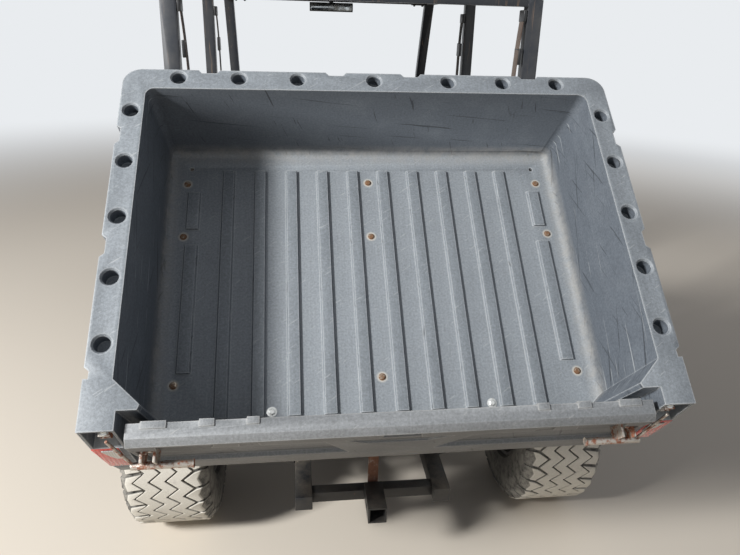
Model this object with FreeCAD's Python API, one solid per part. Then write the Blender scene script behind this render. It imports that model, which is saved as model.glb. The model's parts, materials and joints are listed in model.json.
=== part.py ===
import FreeCAD, Part
import math
import os

# A six-seat side by side utility vehicle with its cargo bed tipped up.
# Millimetres. X points to the right, Y forward and Z up.
# The origin is on the ground, under the middle of the vehicle.

VEC = FreeCAD.Vector

# Ground plan
WHEELBASE = 3000.0
REAR_AXLE_Y = -1310.0
FRONT_AXLE_Y = REAR_AXLE_Y + WHEELBASE
HALF_TRACK = 720.0
FRONT_END_Y = 2165.0

# Wheels and tyres
TYRE_RADIUS = 330.0
REAR_TYRE_WIDTH = 300.0
FRONT_TYRE_WIDTH = 240.0
TREAD_DEPTH = 14.0
LUGS_PER_SIDE = 18
RIM_SIDES = 20
RIM_RADIUS = 152.0
RIM_WALL = 6.0
RIM_FLANGE = 8.0
RIM_SHARE = 0.42
RIM_SLOTS = 8
SPINDLE_RADIUS = 20.0
KINGPIN_X = 615.0
KNUCKLE_HALF_HEIGHT = 73.0
KNUCKLE_HALF = 24.0
KNUCKLE_SWEEP = 26.0
RUNNING_GAP = 0.5
SOFT_GAP = 0.3

# Cargo bed, measured flat: u across, v forward from the rim's rear end, w up from the floor
TILT = 42.7
HINGE_V = 154.0
HINGE_DROP = 90.0
HINGE_Y = REAR_AXLE_Y - 437.0
HINGE_Z = 752.0
HINGE_PIN = 12.0
PAD_CLEARANCE = 6.0
BED_HALF_OUTSIDE = 755.0
RIM_WIDTH = 69.0
WALL_DRAFT = 16.0
BED_HALF_INSIDE = BED_HALF_OUTSIDE - RIM_WIDTH
BED_HALF_FLOOR = BED_HALF_INSIDE - WALL_DRAFT
BED_DEPTH = 321.0
BED_FLOOR_FRONT = 1003.0
BED_RIM_FRONT = 1076.0
BED_FLOOR_REAR = 26.0
BED_WALL = 8.0
RIM_PLATE = 10.0
RIM_LIP = 46.0
RIM_CORNER = 55.0
FOOT_FILLET = 26.0
HOLE_RADIUS = 21.0
HOLE_DEPTH = 40.0
HOLE_MOUTH = 5.0
HOLE_SIDES = 16
HOLE_PITCH = 178.5
HOLE_INSET = 33.5
HOLE_LINE_U = BED_HALF_OUTSIDE - HOLE_INSET
SIDE_HOLES_V = [BED_RIM_FRONT - 155.0 - index * HOLE_PITCH for index in range(5)]
FRONT_HOLES_V = BED_RIM_FRONT - 30.0
FRONT_HOLES_U = [BED_HALF_OUTSIDE - 161.0 - index * HOLE_PITCH for index in range(3)]
NOTCH_DEPTH = 12.0
NOTCH_MOUTH = 66.0
NOTCH_FLOOR = 44.0
FLOOR_RIBS = 10
FLOOR_RIB_PITCH = 105.9
FLOOR_RIB_WIDTH = 43.0
FLOOR_RIB_HEIGHT = 9.0
FLOOR_RIB_REAR = 80.0
FLOOR_RIB_FRONT = 926.0
POST_WALL = 83.0
POST_INNER_U = BED_HALF_OUTSIDE - POST_WALL

# Tailgate
GATE_END_GAP = 19.0
GATE_HALF = POST_INNER_U - GATE_END_GAP
GATE_INNER_V = 16.0
GATE_OUTER_V = -38.0
GATE_TOP_DROP = 20.0
GATE_LIP_DROP = 55.0
GATE_HINGE_V = -10.0
GATE_HINGE_W = -15.0
GATE_PIN = 8.0

# Steel frame
RAIL_INNER_X = 215.0
RAIL_OUTER_X = 275.0
RAIL_BOTTOM_Z = 250.0
RAIL_TOP_Z = 305.0
UPPER_RAIL_X = 305.0
UPPER_RAIL_WIDTH = 50.0
UPPER_RAIL_BOTTOM_Z = 650.0
UPPER_RAIL_TOP_Z = 700.0
FRAME_TUBE = 40.0

# Cab
FLOOR_TOP_Z = 345.0
FLOOR_SHEET = 6.0
CAB_HALF = 632.0
SILL_OUTER_X = CAB_HALF + 73.0
REAR_POST_Y = -770.0
MIDDLE_POST_Y = 45.0
HEADER_Y = 1095.0
COWL_Y = 1330.0
POST_WIDTH = 60.0
POST_DEPTH = 50.0
CAGE_RAIL_Z = 1998.0
CAGE_REAR_DROP = 65.0
CAGE_TUBE = 50.0
FRONT_BENCH_Y = 100.0
REAR_BENCH_Y = -660.0
BENCH_BOX_TOP_Z = 620.0

# Front bodywork
ARCH_RADIUS = 400.0
BODY_SHEET = 6.0
NOSE_Y = 2060.0
HOOD_HALF = 405.0
HOOD_TOP_Z = 1030.0
LAMP_INNER_X = 450.0
LAMP_OUTER_X = 690.0
NOSE_TOP_Z = HOOD_TOP_Z - 180.0
GRILLE_HALF = 300.0
GRILLE_SEAT = 3.0
FENDER_OUTER_X = 775.0
DASH_HALF = CAB_HALF - 72.0
DASH_REAR_Y = 930.0

# Steering
STEER_WHEEL_X = -370.0
STEER_WHEEL_Y = 650.0
STEER_WHEEL_Z = 1050.0
STEER_WHEEL_RADIUS = 175.0
STEER_GRIP = 15.0
COLUMN_ANGLE = 32.0
STEER_ARM = 105.0


def block(x0, x1, y0, y1, z0, z1):
    return Part.makeBox(x1 - x0, y1 - y0, z1 - z0, VEC(x0, y0, z0))


def mirrored(shape):
    return shape.mirror(VEC(0, 0, 0), VEC(1, 0, 0))


def both_sides(*shapes):
    return list(shapes) + [mirrored(shape) for shape in shapes]


def joined(shapes):
    first, rest = shapes[0], list(shapes[1:])
    return first.fuse(rest).removeSplitter() if rest else first


def polygon_wire(points):
    corners = [VEC(*point) for point in points]
    return Part.makePolygon(corners + corners[:1])


def side_prism(outline_yz, x0, x1):
    """A side view outline, drawn out across the vehicle from x0 to x1."""
    wire = polygon_wire([(x0, y, z) for y, z in outline_yz])
    return Part.Face(wire).extrude(VEC(x1 - x0, 0, 0))


def plan_prism(outline_xy, z0, z1):
    """A plan outline, drawn up from z0 to z1."""
    wire = polygon_wire([(x, y, z0) for x, y in outline_xy])
    return Part.Face(wire).extrude(VEC(0, 0, z1 - z0))


def cross_prism(outline_xz, y0, y1):
    """A front view outline, drawn along the vehicle from y0 to y1."""
    wire = polygon_wire([(x, y0, z) for x, z in outline_xz])
    return Part.Face(wire).extrude(VEC(0, y1 - y0, 0))


def bar(start, end, diameter, sides=12):
    """A straight bar from one point to another, round in small flats."""
    return upended([(0, 0), (0, diameter / 2), (1, diameter / 2), (1, 0)], sides, start, end)


def cross_bar(radius, x0, x1, y, z):
    """A round bar that lies across the vehicle."""
    return Part.makeCylinder(radius, x1 - x0, VEC(x0, y, z), VEC(1, 0, 0))


def solid_of(faces):
    solid = Part.makeSolid(Part.makeShell(faces))
    return solid if solid.Volume > 0 else solid.reversed()


def flat_face(corners):
    return Part.Face(Part.makePolygon(corners + corners[:1]))


def planked(here, there):
    """The flat planks between two rings of points."""
    return [flat_face([here[side - 1], here[side], there[side], there[side - 1]])
            for side in range(len(here))]


def faceted(profile_xr, sides):
    """A form round the X axis in flat facets, from points of (x, radius); a radius of 0 is a flat end."""
    turns = [math.pi * (2 * index + 1) / sides for index in range(sides)]
    rings = [[VEC(x, r * math.cos(turn), r * math.sin(turn)) for turn in turns] for x, r in profile_xr]
    faces = []
    for index, (_, r) in enumerate(profile_xr):
        before = profile_xr[index - 1][1]
        if r and before:
            faces += planked(rings[index - 1], rings[index])
        elif r or before:
            faces.append(flat_face(rings[index] if r else rings[index - 1]))
    return solid_of(faces)


def upended(profile_xr, sides, start, end):
    """A faceted form between two points, whose x is given as a share of the way from start to end."""
    run = VEC(*end) - VEC(*start)
    form = faceted([(x * run.Length, r) for x, r in profile_xr], sides)
    form.Placement = FreeCAD.Placement(VEC(*start), FreeCAD.Rotation(VEC(1, 0, 0), run))
    return form


def moved(shape, x, y, z):
    copy = shape.copy()
    copy.translate(VEC(x, y, z))
    return copy


def save(node, shapes):
    Part.makeCompound(list(shapes)).exportStep("parts/%s.step" % node)


def bed_y(v):
    return HINGE_Y + v - HINGE_V


def bed_z(w):
    return HINGE_Z + HINGE_DROP + w


def bed_block(u0, u1, v0, v1, w0, w1):
    return block(u0, u1, bed_y(v0), bed_y(v1), bed_z(w0), bed_z(w1))


def bed_side_prism(outline_vw, u0, u1):
    return side_prism([(bed_y(v), bed_z(w)) for v, w in outline_vw], u0, u1)


def tipped(shape):
    """A piece of the bed, turned up about the bed's hinge to where it rests."""
    copy = shape.copy()
    copy.rotate(VEC(0, HINGE_Y, HINGE_Z), VEC(1, 0, 0), TILT)
    return copy


# Tyres: a carcass of flat facets with a row of shoulder lugs on each side, one lug to every second facet
def tyre(width):
    half = width / 2
    crown = TYRE_RADIUS - TREAD_DEPTH
    shoulder = 0.80 * half
    bead = RIM_SHARE * width
    flange = RIM_RADIUS + RIM_FLANGE
    sides = 2 * LUGS_PER_SIDE
    seat = (RIM_RADIUS + SOFT_GAP) / math.cos(math.pi / sides)
    carcass = faceted([
        (-bead, seat), (-bead, flange), (-half, 0.74 * TYRE_RADIUS), (-shoulder, crown),
        (shoulder, crown), (half, 0.74 * TYRE_RADIUS), (bead, flange), (bead, seat)], sides)
    lug_length = 2 * crown * math.sin(math.pi / sides)
    lugs = []
    for side in (-1, 1):
        outline = [(side * x, r) for x, r in (
            (0.40 * half, crown - 6), (0.40 * half, TYRE_RADIUS), (0.84 * half, TYRE_RADIUS),
            (0.97 * half, crown - 26), (0.80 * half, crown - 26))]
        lug = Part.Face(polygon_wire([(x, -lug_length / 2, r) for x, r in outline]))
        lug = lug.extrude(VEC(0, lug_length, 0))
        for index in range(LUGS_PER_SIDE):
            copy = lug.copy()
            copy.rotate(VEC(0, 0, 0), VEC(1, 0, 0), (2 * index + (side > 0)) * 360 / sides)
            lugs.append(copy)
    return carcass.fuse(lugs)


# Rims: a barrel with flanges and a dished disc in one, with slots and a bored hub
def rim(width):
    bead = RIM_SHARE * width
    edge = bead + RIM_WALL
    flange = RIM_RADIUS + RIM_FLANGE
    inside = RIM_RADIUS - RIM_WALL
    disc_x = 0.30 * width
    bore = (SPINDLE_RADIUS + RUNNING_GAP) / math.cos(math.pi / RIM_SIDES)
    wheel = faceted([
        (-edge, flange), (-bead, flange), (-bead, RIM_RADIUS), (bead, RIM_RADIUS), (bead, flange),
        (edge, flange), (edge, inside), (disc_x, inside), (disc_x - 12, 105), (disc_x + 8, 62),
        (disc_x + 8, bore), (disc_x - 26, bore), (disc_x - 26, 48), (disc_x - 20, 105),
        (disc_x - 8, inside), (-edge, inside)], RIM_SIDES)
    slots = []
    for index in range(RIM_SLOTS):
        slot = block(disc_x - 50, disc_x + 30, -15, 15, 103, 129)
        slot.rotate(VEC(0, 0, 0), VEC(1, 0, 0), index * 360 / RIM_SLOTS)
        slots.append(slot)
    return wheel.cut(slots)


# Tyres and rims stand at the four corners of the wheelbase
def make_wheels():
    corners = (
        ("front", FRONT_AXLE_Y, FRONT_TYRE_WIDTH),
        ("rear", REAR_AXLE_Y, REAR_TYRE_WIDTH))
    for end, axle_y, width in corners:
        new_tyre = tyre(width)
        new_rim = rim(width)
        for side, name in ((1, "right"), (-1, "left")):
            for node, piece in (("tyre", new_tyre), ("rim", new_rim)):
                placed = moved(piece, HALF_TRACK, axle_y, TYRE_RADIUS)
                save("%s_%s_%s" % (node, end, name), [placed if side > 0 else mirrored(placed)])


# Knuckles: an upright with its wheel spindle, held between the two arms' eyes
def knuckle(axle_y, steered):
    low = TYRE_RADIUS - KNUCKLE_HALF_HEIGHT
    high = TYRE_RADIUS + KNUCKLE_HALF_HEIGHT
    upright = side_prism([
        (axle_y - 26, low), (axle_y + 26, low), (axle_y + 44, TYRE_RADIUS),
        (axle_y + 26, high), (axle_y - 26, high), (axle_y - 44, TYRE_RADIUS)],
        KINGPIN_X - KNUCKLE_HALF, KINGPIN_X + KNUCKLE_HALF)
    spindle = cross_bar(SPINDLE_RADIUS, KINGPIN_X, HALF_TRACK + 0.30 * FRONT_TYRE_WIDTH + 4,
                        axle_y, TYRE_RADIUS)
    pieces = [upright, spindle]
    if steered:
        pieces.append(block(KINGPIN_X - 20, KINGPIN_X + 14, axle_y - STEER_ARM - 16, axle_y,
                            TYRE_RADIUS - 12, TYRE_RADIUS + 6))
    return joined(pieces)


# Suspension arms: two round legs from the frame to an eye over or under the knuckle
ARM_SPREAD = 150.0
ARM_TUBE = 26.0
EYE_RADIUS = 22.0
EYE_HEIGHT = 30.0


def arm(axle_y, inner_z, eye_low_z):
    eye = bar((KINGPIN_X, axle_y, eye_low_z), (KINGPIN_X, axle_y, eye_low_z + EYE_HEIGHT), 2 * EYE_RADIUS)
    centre = (KINGPIN_X - EYE_RADIUS + 8, axle_y, eye_low_z + EYE_HEIGHT / 2)
    legs = [bar((RAIL_OUTER_X, axle_y + reach, inner_z), centre, ARM_TUBE, 8)
            for reach in (-ARM_SPREAD, ARM_SPREAD)]
    return joined([eye] + legs)


LOWER_ARM_Z = 282.0
UPPER_ARM_Z = 440.0
LOWER_EYE_Z = TYRE_RADIUS - KNUCKLE_HALF_HEIGHT - RUNNING_GAP - EYE_HEIGHT
UPPER_EYE_Z = TYRE_RADIUS + KNUCKLE_HALF_HEIGHT + RUNNING_GAP


def make_suspension():
    frame = frame_rails() + frame_uprights()
    arms = []
    for axle_y in (FRONT_AXLE_Y, REAR_AXLE_Y):
        lower = arm(axle_y, LOWER_ARM_Z, LOWER_EYE_Z).cut(frame)
        upper = arm(axle_y, UPPER_ARM_Z, UPPER_EYE_Z).cut(frame)
        arms += both_sides(lower, upper)
    save("suspension_arms", arms)
    front = knuckle(FRONT_AXLE_Y, True)
    save("knuckle_front_right", [front])
    save("knuckle_front_left", [mirrored(front)])
    save("knuckles_rear", both_sides(knuckle(REAR_AXLE_Y, False)))
    shocks = []
    shafts = []
    for axle_y, tower_x in ((FRONT_AXLE_Y, RAIL_OUTER_X), (REAR_AXLE_Y, UPPER_RAIL_X + UPPER_RAIL_WIDTH)):
        shocks += both_sides(shock(axle_y, tower_x))
        steer_room = KNUCKLE_SWEEP if axle_y == FRONT_AXLE_Y else 0
        shafts += both_sides(half_shaft(axle_y, KINGPIN_X - KNUCKLE_HALF - steer_room))
    save("shock_absorbers", shocks)
    save("half_shafts", shafts)


# Shock absorbers: a damper with its spring as one sleeve, from the lower arm to the frame
SHOCK_FOOT_X = 490.0
SHOCK_FOOT_BACK = 52.0
SHOCK_TOP_AHEAD = 44.0
SHOCK_TOP_Z = 668.0
SPRING_RADIUS = 31.0
SPRING_START = 90.0
SPRING_END = 40.0
DAMPER_RADIUS = 14.0


def shock(axle_y, tower_x):
    foot = VEC(SHOCK_FOOT_X, axle_y - SHOCK_FOOT_BACK, LOWER_ARM_Z + 10)
    top = VEC(tower_x + 24, axle_y + SHOCK_TOP_AHEAD, SHOCK_TOP_Z)
    run = top - foot
    damper = bar(foot, top, 2 * DAMPER_RADIUS, 10)
    spring = bar(foot + run * (SPRING_START / run.Length), top - run * (SPRING_END / run.Length),
                 2 * SPRING_RADIUS, 16)
    top_eye = block(tower_x, top.x + DAMPER_RADIUS, top.y - 18, top.y + 18,
                    SHOCK_TOP_Z - 16, SHOCK_TOP_Z + 16)
    clevis = block(foot.x - 18, foot.x + 18, foot.y - 18, foot.y + 18, foot.z - 34, foot.z + 8)
    return joined([damper, spring, top_eye, clevis]).cut(arm(axle_y, LOWER_ARM_Z, LOWER_EYE_Z))


# Half shafts: a bar with a rubber boot at each end, from the gearbox to the knuckle
SHAFT_RADIUS = 14.0
BOOT_RADIUS = 38.0
GEARBOX_HALF = 150.0


def half_shaft(axle_y, outer):
    inner = GEARBOX_HALF
    rail_gap = RAIL_OUTER_X + 18
    profile = [
        (inner, 0), (inner, SHAFT_RADIUS), (rail_gap, SHAFT_RADIUS), (rail_gap, BOOT_RADIUS),
        (rail_gap + 34, BOOT_RADIUS), (rail_gap + 84, SHAFT_RADIUS), (outer - 84, SHAFT_RADIUS),
        (outer - 30, BOOT_RADIUS), (outer, BOOT_RADIUS), (outer, 0)]
    return moved(faceted(profile, 12), 0, axle_y, TYRE_RADIUS)


# Frame: two long lower rails, an upper rear pair that carries the bed, and cross tubes
RAIL_REAR_Y = -1690.0
RAIL_FRONT_Y = 2040.0
UPPER_RAIL_REAR_Y = -1780.0
UPPER_RAIL_FRONT_Y = REAR_POST_Y - POST_DEPTH / 2
CROSS_TUBES_Y = (-1640.0, -1310.0, -1060.0, -300.0, 300.0, 900.0, 1420.0, 1730.0, 2000.0)
CROSS_TUBE_TOP_Z = RAIL_BOTTOM_Z + 5 + FRAME_TUBE
OUTRIGGERS_Y = (REAR_POST_Y, MIDDLE_POST_Y, 620.0, 1230.0)
STRUT_X = 180.0
STRUT_FOOT_Y = 25.0
STRUT_FOOT_Z = -120.0
STRUT_HEAD_Y = 440.0


def frame_rails():
    lower = block(RAIL_INNER_X, RAIL_OUTER_X, RAIL_REAR_Y, RAIL_FRONT_Y, RAIL_BOTTOM_Z, RAIL_TOP_Z)
    upper = block(UPPER_RAIL_X, UPPER_RAIL_X + UPPER_RAIL_WIDTH, UPPER_RAIL_REAR_Y, UPPER_RAIL_FRONT_Y,
                  UPPER_RAIL_BOTTOM_Z, UPPER_RAIL_TOP_Z)
    return both_sides(lower, upper)


def frame_uprights():
    """Posts at the suspension pivots, from the lower rails to the upper rails or front tower."""
    posts = []
    for reach in (-ARM_SPREAD, ARM_SPREAD):
        y = REAR_AXLE_Y + reach
        posts.append(cross_prism([
            (RAIL_OUTER_X - FRAME_TUBE, RAIL_TOP_Z), (RAIL_OUTER_X, RAIL_TOP_Z),
            (RAIL_OUTER_X, 470), (UPPER_RAIL_X + FRAME_TUBE, UPPER_RAIL_BOTTOM_Z),
            (UPPER_RAIL_X, UPPER_RAIL_BOTTOM_Z), (RAIL_OUTER_X - FRAME_TUBE, 500)],
            y - FRAME_TUBE / 2, y + FRAME_TUBE / 2))
        y = FRONT_AXLE_Y + reach
        posts.append(block(RAIL_OUTER_X - FRAME_TUBE, RAIL_OUTER_X, y - FRAME_TUBE / 2,
                           y + FRAME_TUBE / 2, RAIL_TOP_Z, SHOCK_TOP_Z - 20))
    tower = block(RAIL_OUTER_X - FRAME_TUBE, RAIL_OUTER_X, FRONT_AXLE_Y - ARM_SPREAD - FRAME_TUBE / 2,
                  FRONT_AXLE_Y + ARM_SPREAD + FRAME_TUBE / 2, SHOCK_TOP_Z - 20, SHOCK_TOP_Z + 20)
    tail = block(UPPER_RAIL_X, UPPER_RAIL_X + FRAME_TUBE, REAR_POST_Y - 100, REAR_POST_Y - 60,
                 RAIL_TOP_Z - 20, UPPER_RAIL_BOTTOM_Z)
    stub = block(RAIL_OUTER_X, UPPER_RAIL_X + FRAME_TUBE, REAR_POST_Y - 100, REAR_POST_Y - 60,
                 RAIL_BOTTOM_Z, RAIL_TOP_Z - 20)
    front_tower = joined([tower] + [post for post in posts if post.BoundBox.YMin > 0])
    rear_posts = [post for post in posts if post.BoundBox.YMin < 0]
    return both_sides(front_tower, joined([tail, stub]), *rear_posts)


def frame_cross_tubes():
    tubes = [block(-RAIL_INNER_X, RAIL_INNER_X, y - FRAME_TUBE / 2, y + FRAME_TUBE / 2,
                   RAIL_BOTTOM_Z + 5, RAIL_BOTTOM_Z + 5 + FRAME_TUBE) for y in CROSS_TUBES_Y]
    for y in OUTRIGGERS_Y:
        tubes += both_sides(block(RAIL_OUTER_X, SILL_OUTER_X - 10, y - FRAME_TUBE / 2,
                                  y + FRAME_TUBE / 2, RAIL_BOTTOM_Z + 5, RAIL_BOTTOM_Z + 5 + FRAME_TUBE))
    tubes.append(block(-UPPER_RAIL_X, UPPER_RAIL_X, REAR_POST_Y - 160, REAR_POST_Y - 120,
                       UPPER_RAIL_BOTTOM_Z, UPPER_RAIL_BOTTOM_Z + FRAME_TUBE))
    return tubes + [strut_tube()]


def strut_tube():
    """The rear cross tube, with the two ears and the pin of the lift strut's foot."""
    y = HINGE_Y + STRUT_FOOT_Y
    z = HINGE_Z + STRUT_FOOT_Z
    tube = block(-UPPER_RAIL_X, UPPER_RAIL_X, y - 20, y + 20, z - 72, z - 32)
    riser = block(UPPER_RAIL_X - 6, UPPER_RAIL_X, y - 20, y + 20, z - 72, UPPER_RAIL_TOP_Z)
    pieces = [tube] + both_sides(riser)
    for x in (STRUT_X - 25, STRUT_X + 19):
        pieces.append(block(x, x + 6, y - 16, y + 16, z - 32, z + 14))
    pieces.append(cross_bar(6, STRUT_X - 25, STRUT_X + 25, y, z))
    return joined(pieces)


# Bed hinges: two plates and a pin on each upper rail, round the eye of the bed's rail
def hinge_brackets():
    centre = UPPER_RAIL_X + UPPER_RAIL_WIDTH / 2
    plates = []
    for x in (centre - 33, centre + 27):
        plates.append(side_prism([
            (HINGE_Y - 30, UPPER_RAIL_TOP_Z), (HINGE_Y + 46, UPPER_RAIL_TOP_Z),
            (HINGE_Y + 20, HINGE_Z + 20), (HINGE_Y - 20, HINGE_Z + 20)], x, x + 6))
    base = block(centre - 33, centre + 33, HINGE_Y - 30, HINGE_Y + 46,
                 UPPER_RAIL_TOP_Z, UPPER_RAIL_TOP_Z + 5)
    pin = cross_bar(HINGE_PIN, centre - 33, centre + 33, HINGE_Y, HINGE_Z)
    pad = block(centre - 20, centre + 20, REAR_POST_Y - 110, REAR_POST_Y - 50,
                UPPER_RAIL_TOP_Z, HINGE_Z + HINGE_DROP + BED_RAIL_LOW_W - PAD_CLEARANCE)
    return both_sides(joined(plates + [base, pin]), pad)


# Hitch receiver: a square socket under the tail
RECEIVER_INSIDE = 50.8
RECEIVER_WALL = 6.0
RECEIVER_REAR_Y = -1790.0
RECEIVER_Z = 300.0


def hitch_receiver():
    half = RECEIVER_INSIDE / 2
    outer = half + RECEIVER_WALL
    front_y = CROSS_TUBES_Y[0] - FRAME_TUBE / 2
    tube = block(-outer, outer, RECEIVER_REAR_Y, front_y, RECEIVER_Z - outer, RECEIVER_Z + outer)
    tube = tube.cut(block(-half, half, RECEIVER_REAR_Y - 1, front_y - 8,
                          RECEIVER_Z - half, RECEIVER_Z + half))
    return tube.cut(cross_bar(8, -outer - 1, outer + 1, RECEIVER_REAR_Y + 50, RECEIVER_Z))


def make_frame():
    save("frame_rails", frame_rails())
    save("frame_cross_members", frame_uprights() + frame_cross_tubes())
    save("bed_hinges", hinge_brackets())
    save("hitch_receiver", [hitch_receiver()])


# Engine and exhaust: plain blocks under the bed
def make_engine():
    low = CROSS_TUBE_TOP_Z
    engine = block(-190, 190, REAR_AXLE_Y + 130, REAR_POST_Y - 170, low, 640)
    gearbox = block(-GEARBOX_HALF, GEARBOX_HALF, REAR_AXLE_Y - 130, REAR_AXLE_Y + 130, low, 480)
    front_gearbox = block(-GEARBOX_HALF, GEARBOX_HALF, FRONT_AXLE_Y - 65, FRONT_AXLE_Y + 110, low, 410)
    save("engine_and_gearboxes", [joined([engine, gearbox]), front_gearbox])
    can = cross_bar(68, -200, 130, -1560, 530)
    tail = cross_bar(20, 130, 230, -1560, 530)
    stay_top = 512
    hanger = [block(-18, 18, -1652, -1646, CROSS_TUBE_TOP_Z, stay_top),
              block(-18, 18, -1652, -1560, stay_top - 6, stay_top)]
    save("muffler", [joined([can, tail] + hanger)])


# Cab floor: one moulding with a toe board in front and a hollow sill along each side
TOE_Y = COWL_Y - 20
SILL_BOTTOM_Z = RAIL_BOTTOM_Z + 45


def toe_outline(front):
    """The floor and toe board's side view, from the top face or, at front 1, from the front face."""
    lift = -FLOOR_SHEET * front
    return [(REAR_POST_Y + POST_DEPTH / 2, FLOOR_TOP_Z + lift), (TOE_Y - 60 - lift, FLOOR_TOP_Z + lift),
            (TOE_Y - lift, 560 + lift / 3), (TOE_Y - lift, 760)]


def make_floor(posts):
    sheet = side_prism(toe_outline(0) + toe_outline(1)[::-1], -CAB_HALF, CAB_HALF)
    section = [
        (CAB_HALF - 4, SILL_BOTTOM_Z), (SILL_OUTER_X, SILL_BOTTOM_Z), (SILL_OUTER_X, 390),
        (SILL_OUTER_X - 18, 410), (CAB_HALF - 4, 410)]
    sill = cross_prism(section, REAR_POST_Y + POST_DEPTH / 2, TOE_Y - 70)
    floor = joined([sheet] + both_sides(sill))
    save("cab_floor", [floor.cut(posts + [steering_shaft(SHAFT_HOLE)])])


# Seats: two bench boxes with their cushions and leaning backs, in a table of benches
BENCHES = (  # box's rear y, box's front y
    (FRONT_BENCH_Y, FRONT_BENCH_Y + 440),
    (REAR_BENCH_Y, REAR_BENCH_Y + 440))
SEAT_EDGE_X = CAB_HALF - 22.0
BENCH_HALF = CAB_HALF - 32.0
SEATS = (  # left edge x, right edge x
    (-SEAT_EDGE_X, -110.0),
    (-96.0, SEAT_EDGE_X))
CUSHION_DEPTH = 480.0
CUSHION_HEIGHT = 120.0
CUSHION_EDGE = 22.0
BACK_THICKNESS = 95.0
BACK_HEIGHT = 640.0
BACK_LEAN = 10.0
BACK_FOOT = 75.0


def eased(shape, size):
    """A block whose edges across the vehicle are cut off at a slant."""
    edges = [edge for edge in shape.Edges if abs(edge.tangentAt(edge.FirstParameter).x) > 0.9]
    return shape.makeChamfer(size, edges)


def seat_back(x0, x1, foot_y):
    back = eased(block(x0, x1, foot_y - BACK_THICKNESS, foot_y, 0, BACK_HEIGHT), CUSHION_EDGE)
    back.rotate(VEC(0, foot_y, 0), VEC(1, 0, 0), BACK_LEAN)
    back.translate(VEC(0, 0, BENCH_BOX_TOP_Z + SOFT_GAP - back.BoundBox.ZMin))
    return back


def make_seats():
    boxes, cushions = [], []
    for rear_y, front_y in BENCHES:
        boxes.append(side_prism([
            (rear_y - 20, FLOOR_TOP_Z), (front_y - 30, FLOOR_TOP_Z), (front_y, BENCH_BOX_TOP_Z),
            (rear_y - 40, BENCH_BOX_TOP_Z), (rear_y - 40, BENCH_BOX_TOP_Z - 50)], -BENCH_HALF, BENCH_HALF))
        foot_y = rear_y + BACK_FOOT
        for x0, x1 in SEATS:
            cushion = block(x0, x1, foot_y + SOFT_GAP, foot_y + CUSHION_DEPTH, BENCH_BOX_TOP_Z + SOFT_GAP,
                            BENCH_BOX_TOP_Z + CUSHION_HEIGHT)
            cushions += [eased(cushion, CUSHION_EDGE), seat_back(x0, x1, foot_y)]
    save("seat_boxes", boxes)
    save("seat_cushions", cushions)


# Roll cage: posts, pillars, roof rails and cross bars of square tube
def swept_tube(points, width, depth):
    """A rectangular tube along straight runs with mitred corners, wide across the vehicle."""
    path = Part.makePolygon([VEC(*point) for point in points])
    run = VEC(*points[1]) - VEC(*points[0])
    across = VEC(1, 0, 0) if abs(run.x) < 0.9 * run.Length else VEC(0, 1, 0)
    normal = run.cross(across).normalize()
    across = normal.cross(run).normalize()
    start = VEC(*points[0])
    corners = [start + across * (a * width / 2) + normal * (b * depth / 2)
               for a, b in ((-1, -1), (1, -1), (1, 1), (-1, 1))]
    profile = Part.makePolygon(corners + corners[:1])
    return path.makePipeShell([profile], True, False, 1)


POST_X = CAB_HALF + POST_WIDTH / 2 + 2
MIDDLE_POST_WIDTH = 50.0
REAR_POST_BOW_Z = 1250.0
RAIL_STATIONS = (  # y, x of the rail's middle, z of the rail's middle
    (REAR_POST_Y, POST_X + 49.0, CAGE_RAIL_Z - CAGE_REAR_DROP),
    (MIDDLE_POST_Y, POST_X + 7.0, CAGE_RAIL_Z),
    (HEADER_Y, POST_X + 7.0, CAGE_RAIL_Z))
REAR_POST = (  # x, z along the rear post, bowed out round the bed's corner
    (POST_X, SILL_BOTTOM_Z), (POST_X, 480.0), (POST_X + 63.0, REAR_POST_BOW_Z),
    (RAIL_STATIONS[0][1], RAIL_STATIONS[0][2]))
MIDDLE_POST = (  # x, z along the middle post
    (POST_X, SILL_BOTTOM_Z), (POST_X + 16.0, REAR_POST_BOW_Z), (RAIL_STATIONS[1][1], CAGE_RAIL_Z))
POSTS = (  # y, line, width of each post with a belt
    (REAR_POST_Y, REAR_POST, POST_WIDTH),
    (MIDDLE_POST_Y, MIDDLE_POST, MIDDLE_POST_WIDTH))


def cage_rail():
    """The roof rail: level over the doors, and lower towards the rear post."""
    half = CAGE_TUBE / 2
    (y0, x0, z0), (y1, x1, z1), (y2, x2, z2) = RAIL_STATIONS
    back = -half / (y1 - y0)
    start = (x0 + (x1 - x0) * back, y0 - half, z0 + (z1 - z0) * back)
    return swept_tube([start, (x1, y1, z1), (x2, y2 + half, z2)], CAGE_TUBE, CAGE_TUBE)


def cage_side():
    """One side of the cage: the roof rail with its rear and middle posts and its front pillar."""
    pieces = [cage_rail()]
    for y, line, width in POSTS:
        pieces.append(swept_tube([(x, y, z) for x, z in line], width, POST_DEPTH))
    pieces.append(swept_tube([
        (POST_X, TOE_Y - 85, SILL_BOTTOM_Z), (POST_X, TOE_Y + 30, 930),
        (POST_X + 10, COWL_Y - 30, CAGE_RAIL_Z - 470),
        RAIL_STATIONS[2][1::-1] + RAIL_STATIONS[2][2:]], POST_WIDTH, POST_DEPTH))
    below = block(0, 2 * POST_X, REAR_POST_Y - POST_DEPTH, TOE_Y, 0, SILL_BOTTOM_Z)
    return joined(pieces).cut(below)


def cage_cross_bars(sides):
    """A bar across the cage at each station, cut to fit between the two rails."""
    bars = []
    for y, x, z in RAIL_STATIONS:
        whole = block(-x, x, y - CAGE_TUBE / 2, y + CAGE_TUBE / 2, z - CAGE_TUBE / 2, z + CAGE_TUBE / 2 - 6)
        bars.append(max(whole.cut(sides).Solids, key=lambda solid: solid.Volume))
    return bars


def make_cage():
    sides = both_sides(cage_side())
    save("cage_sides", sides)
    save("cage_cross_bars", cage_cross_bars(sides))
    return sides


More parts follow.
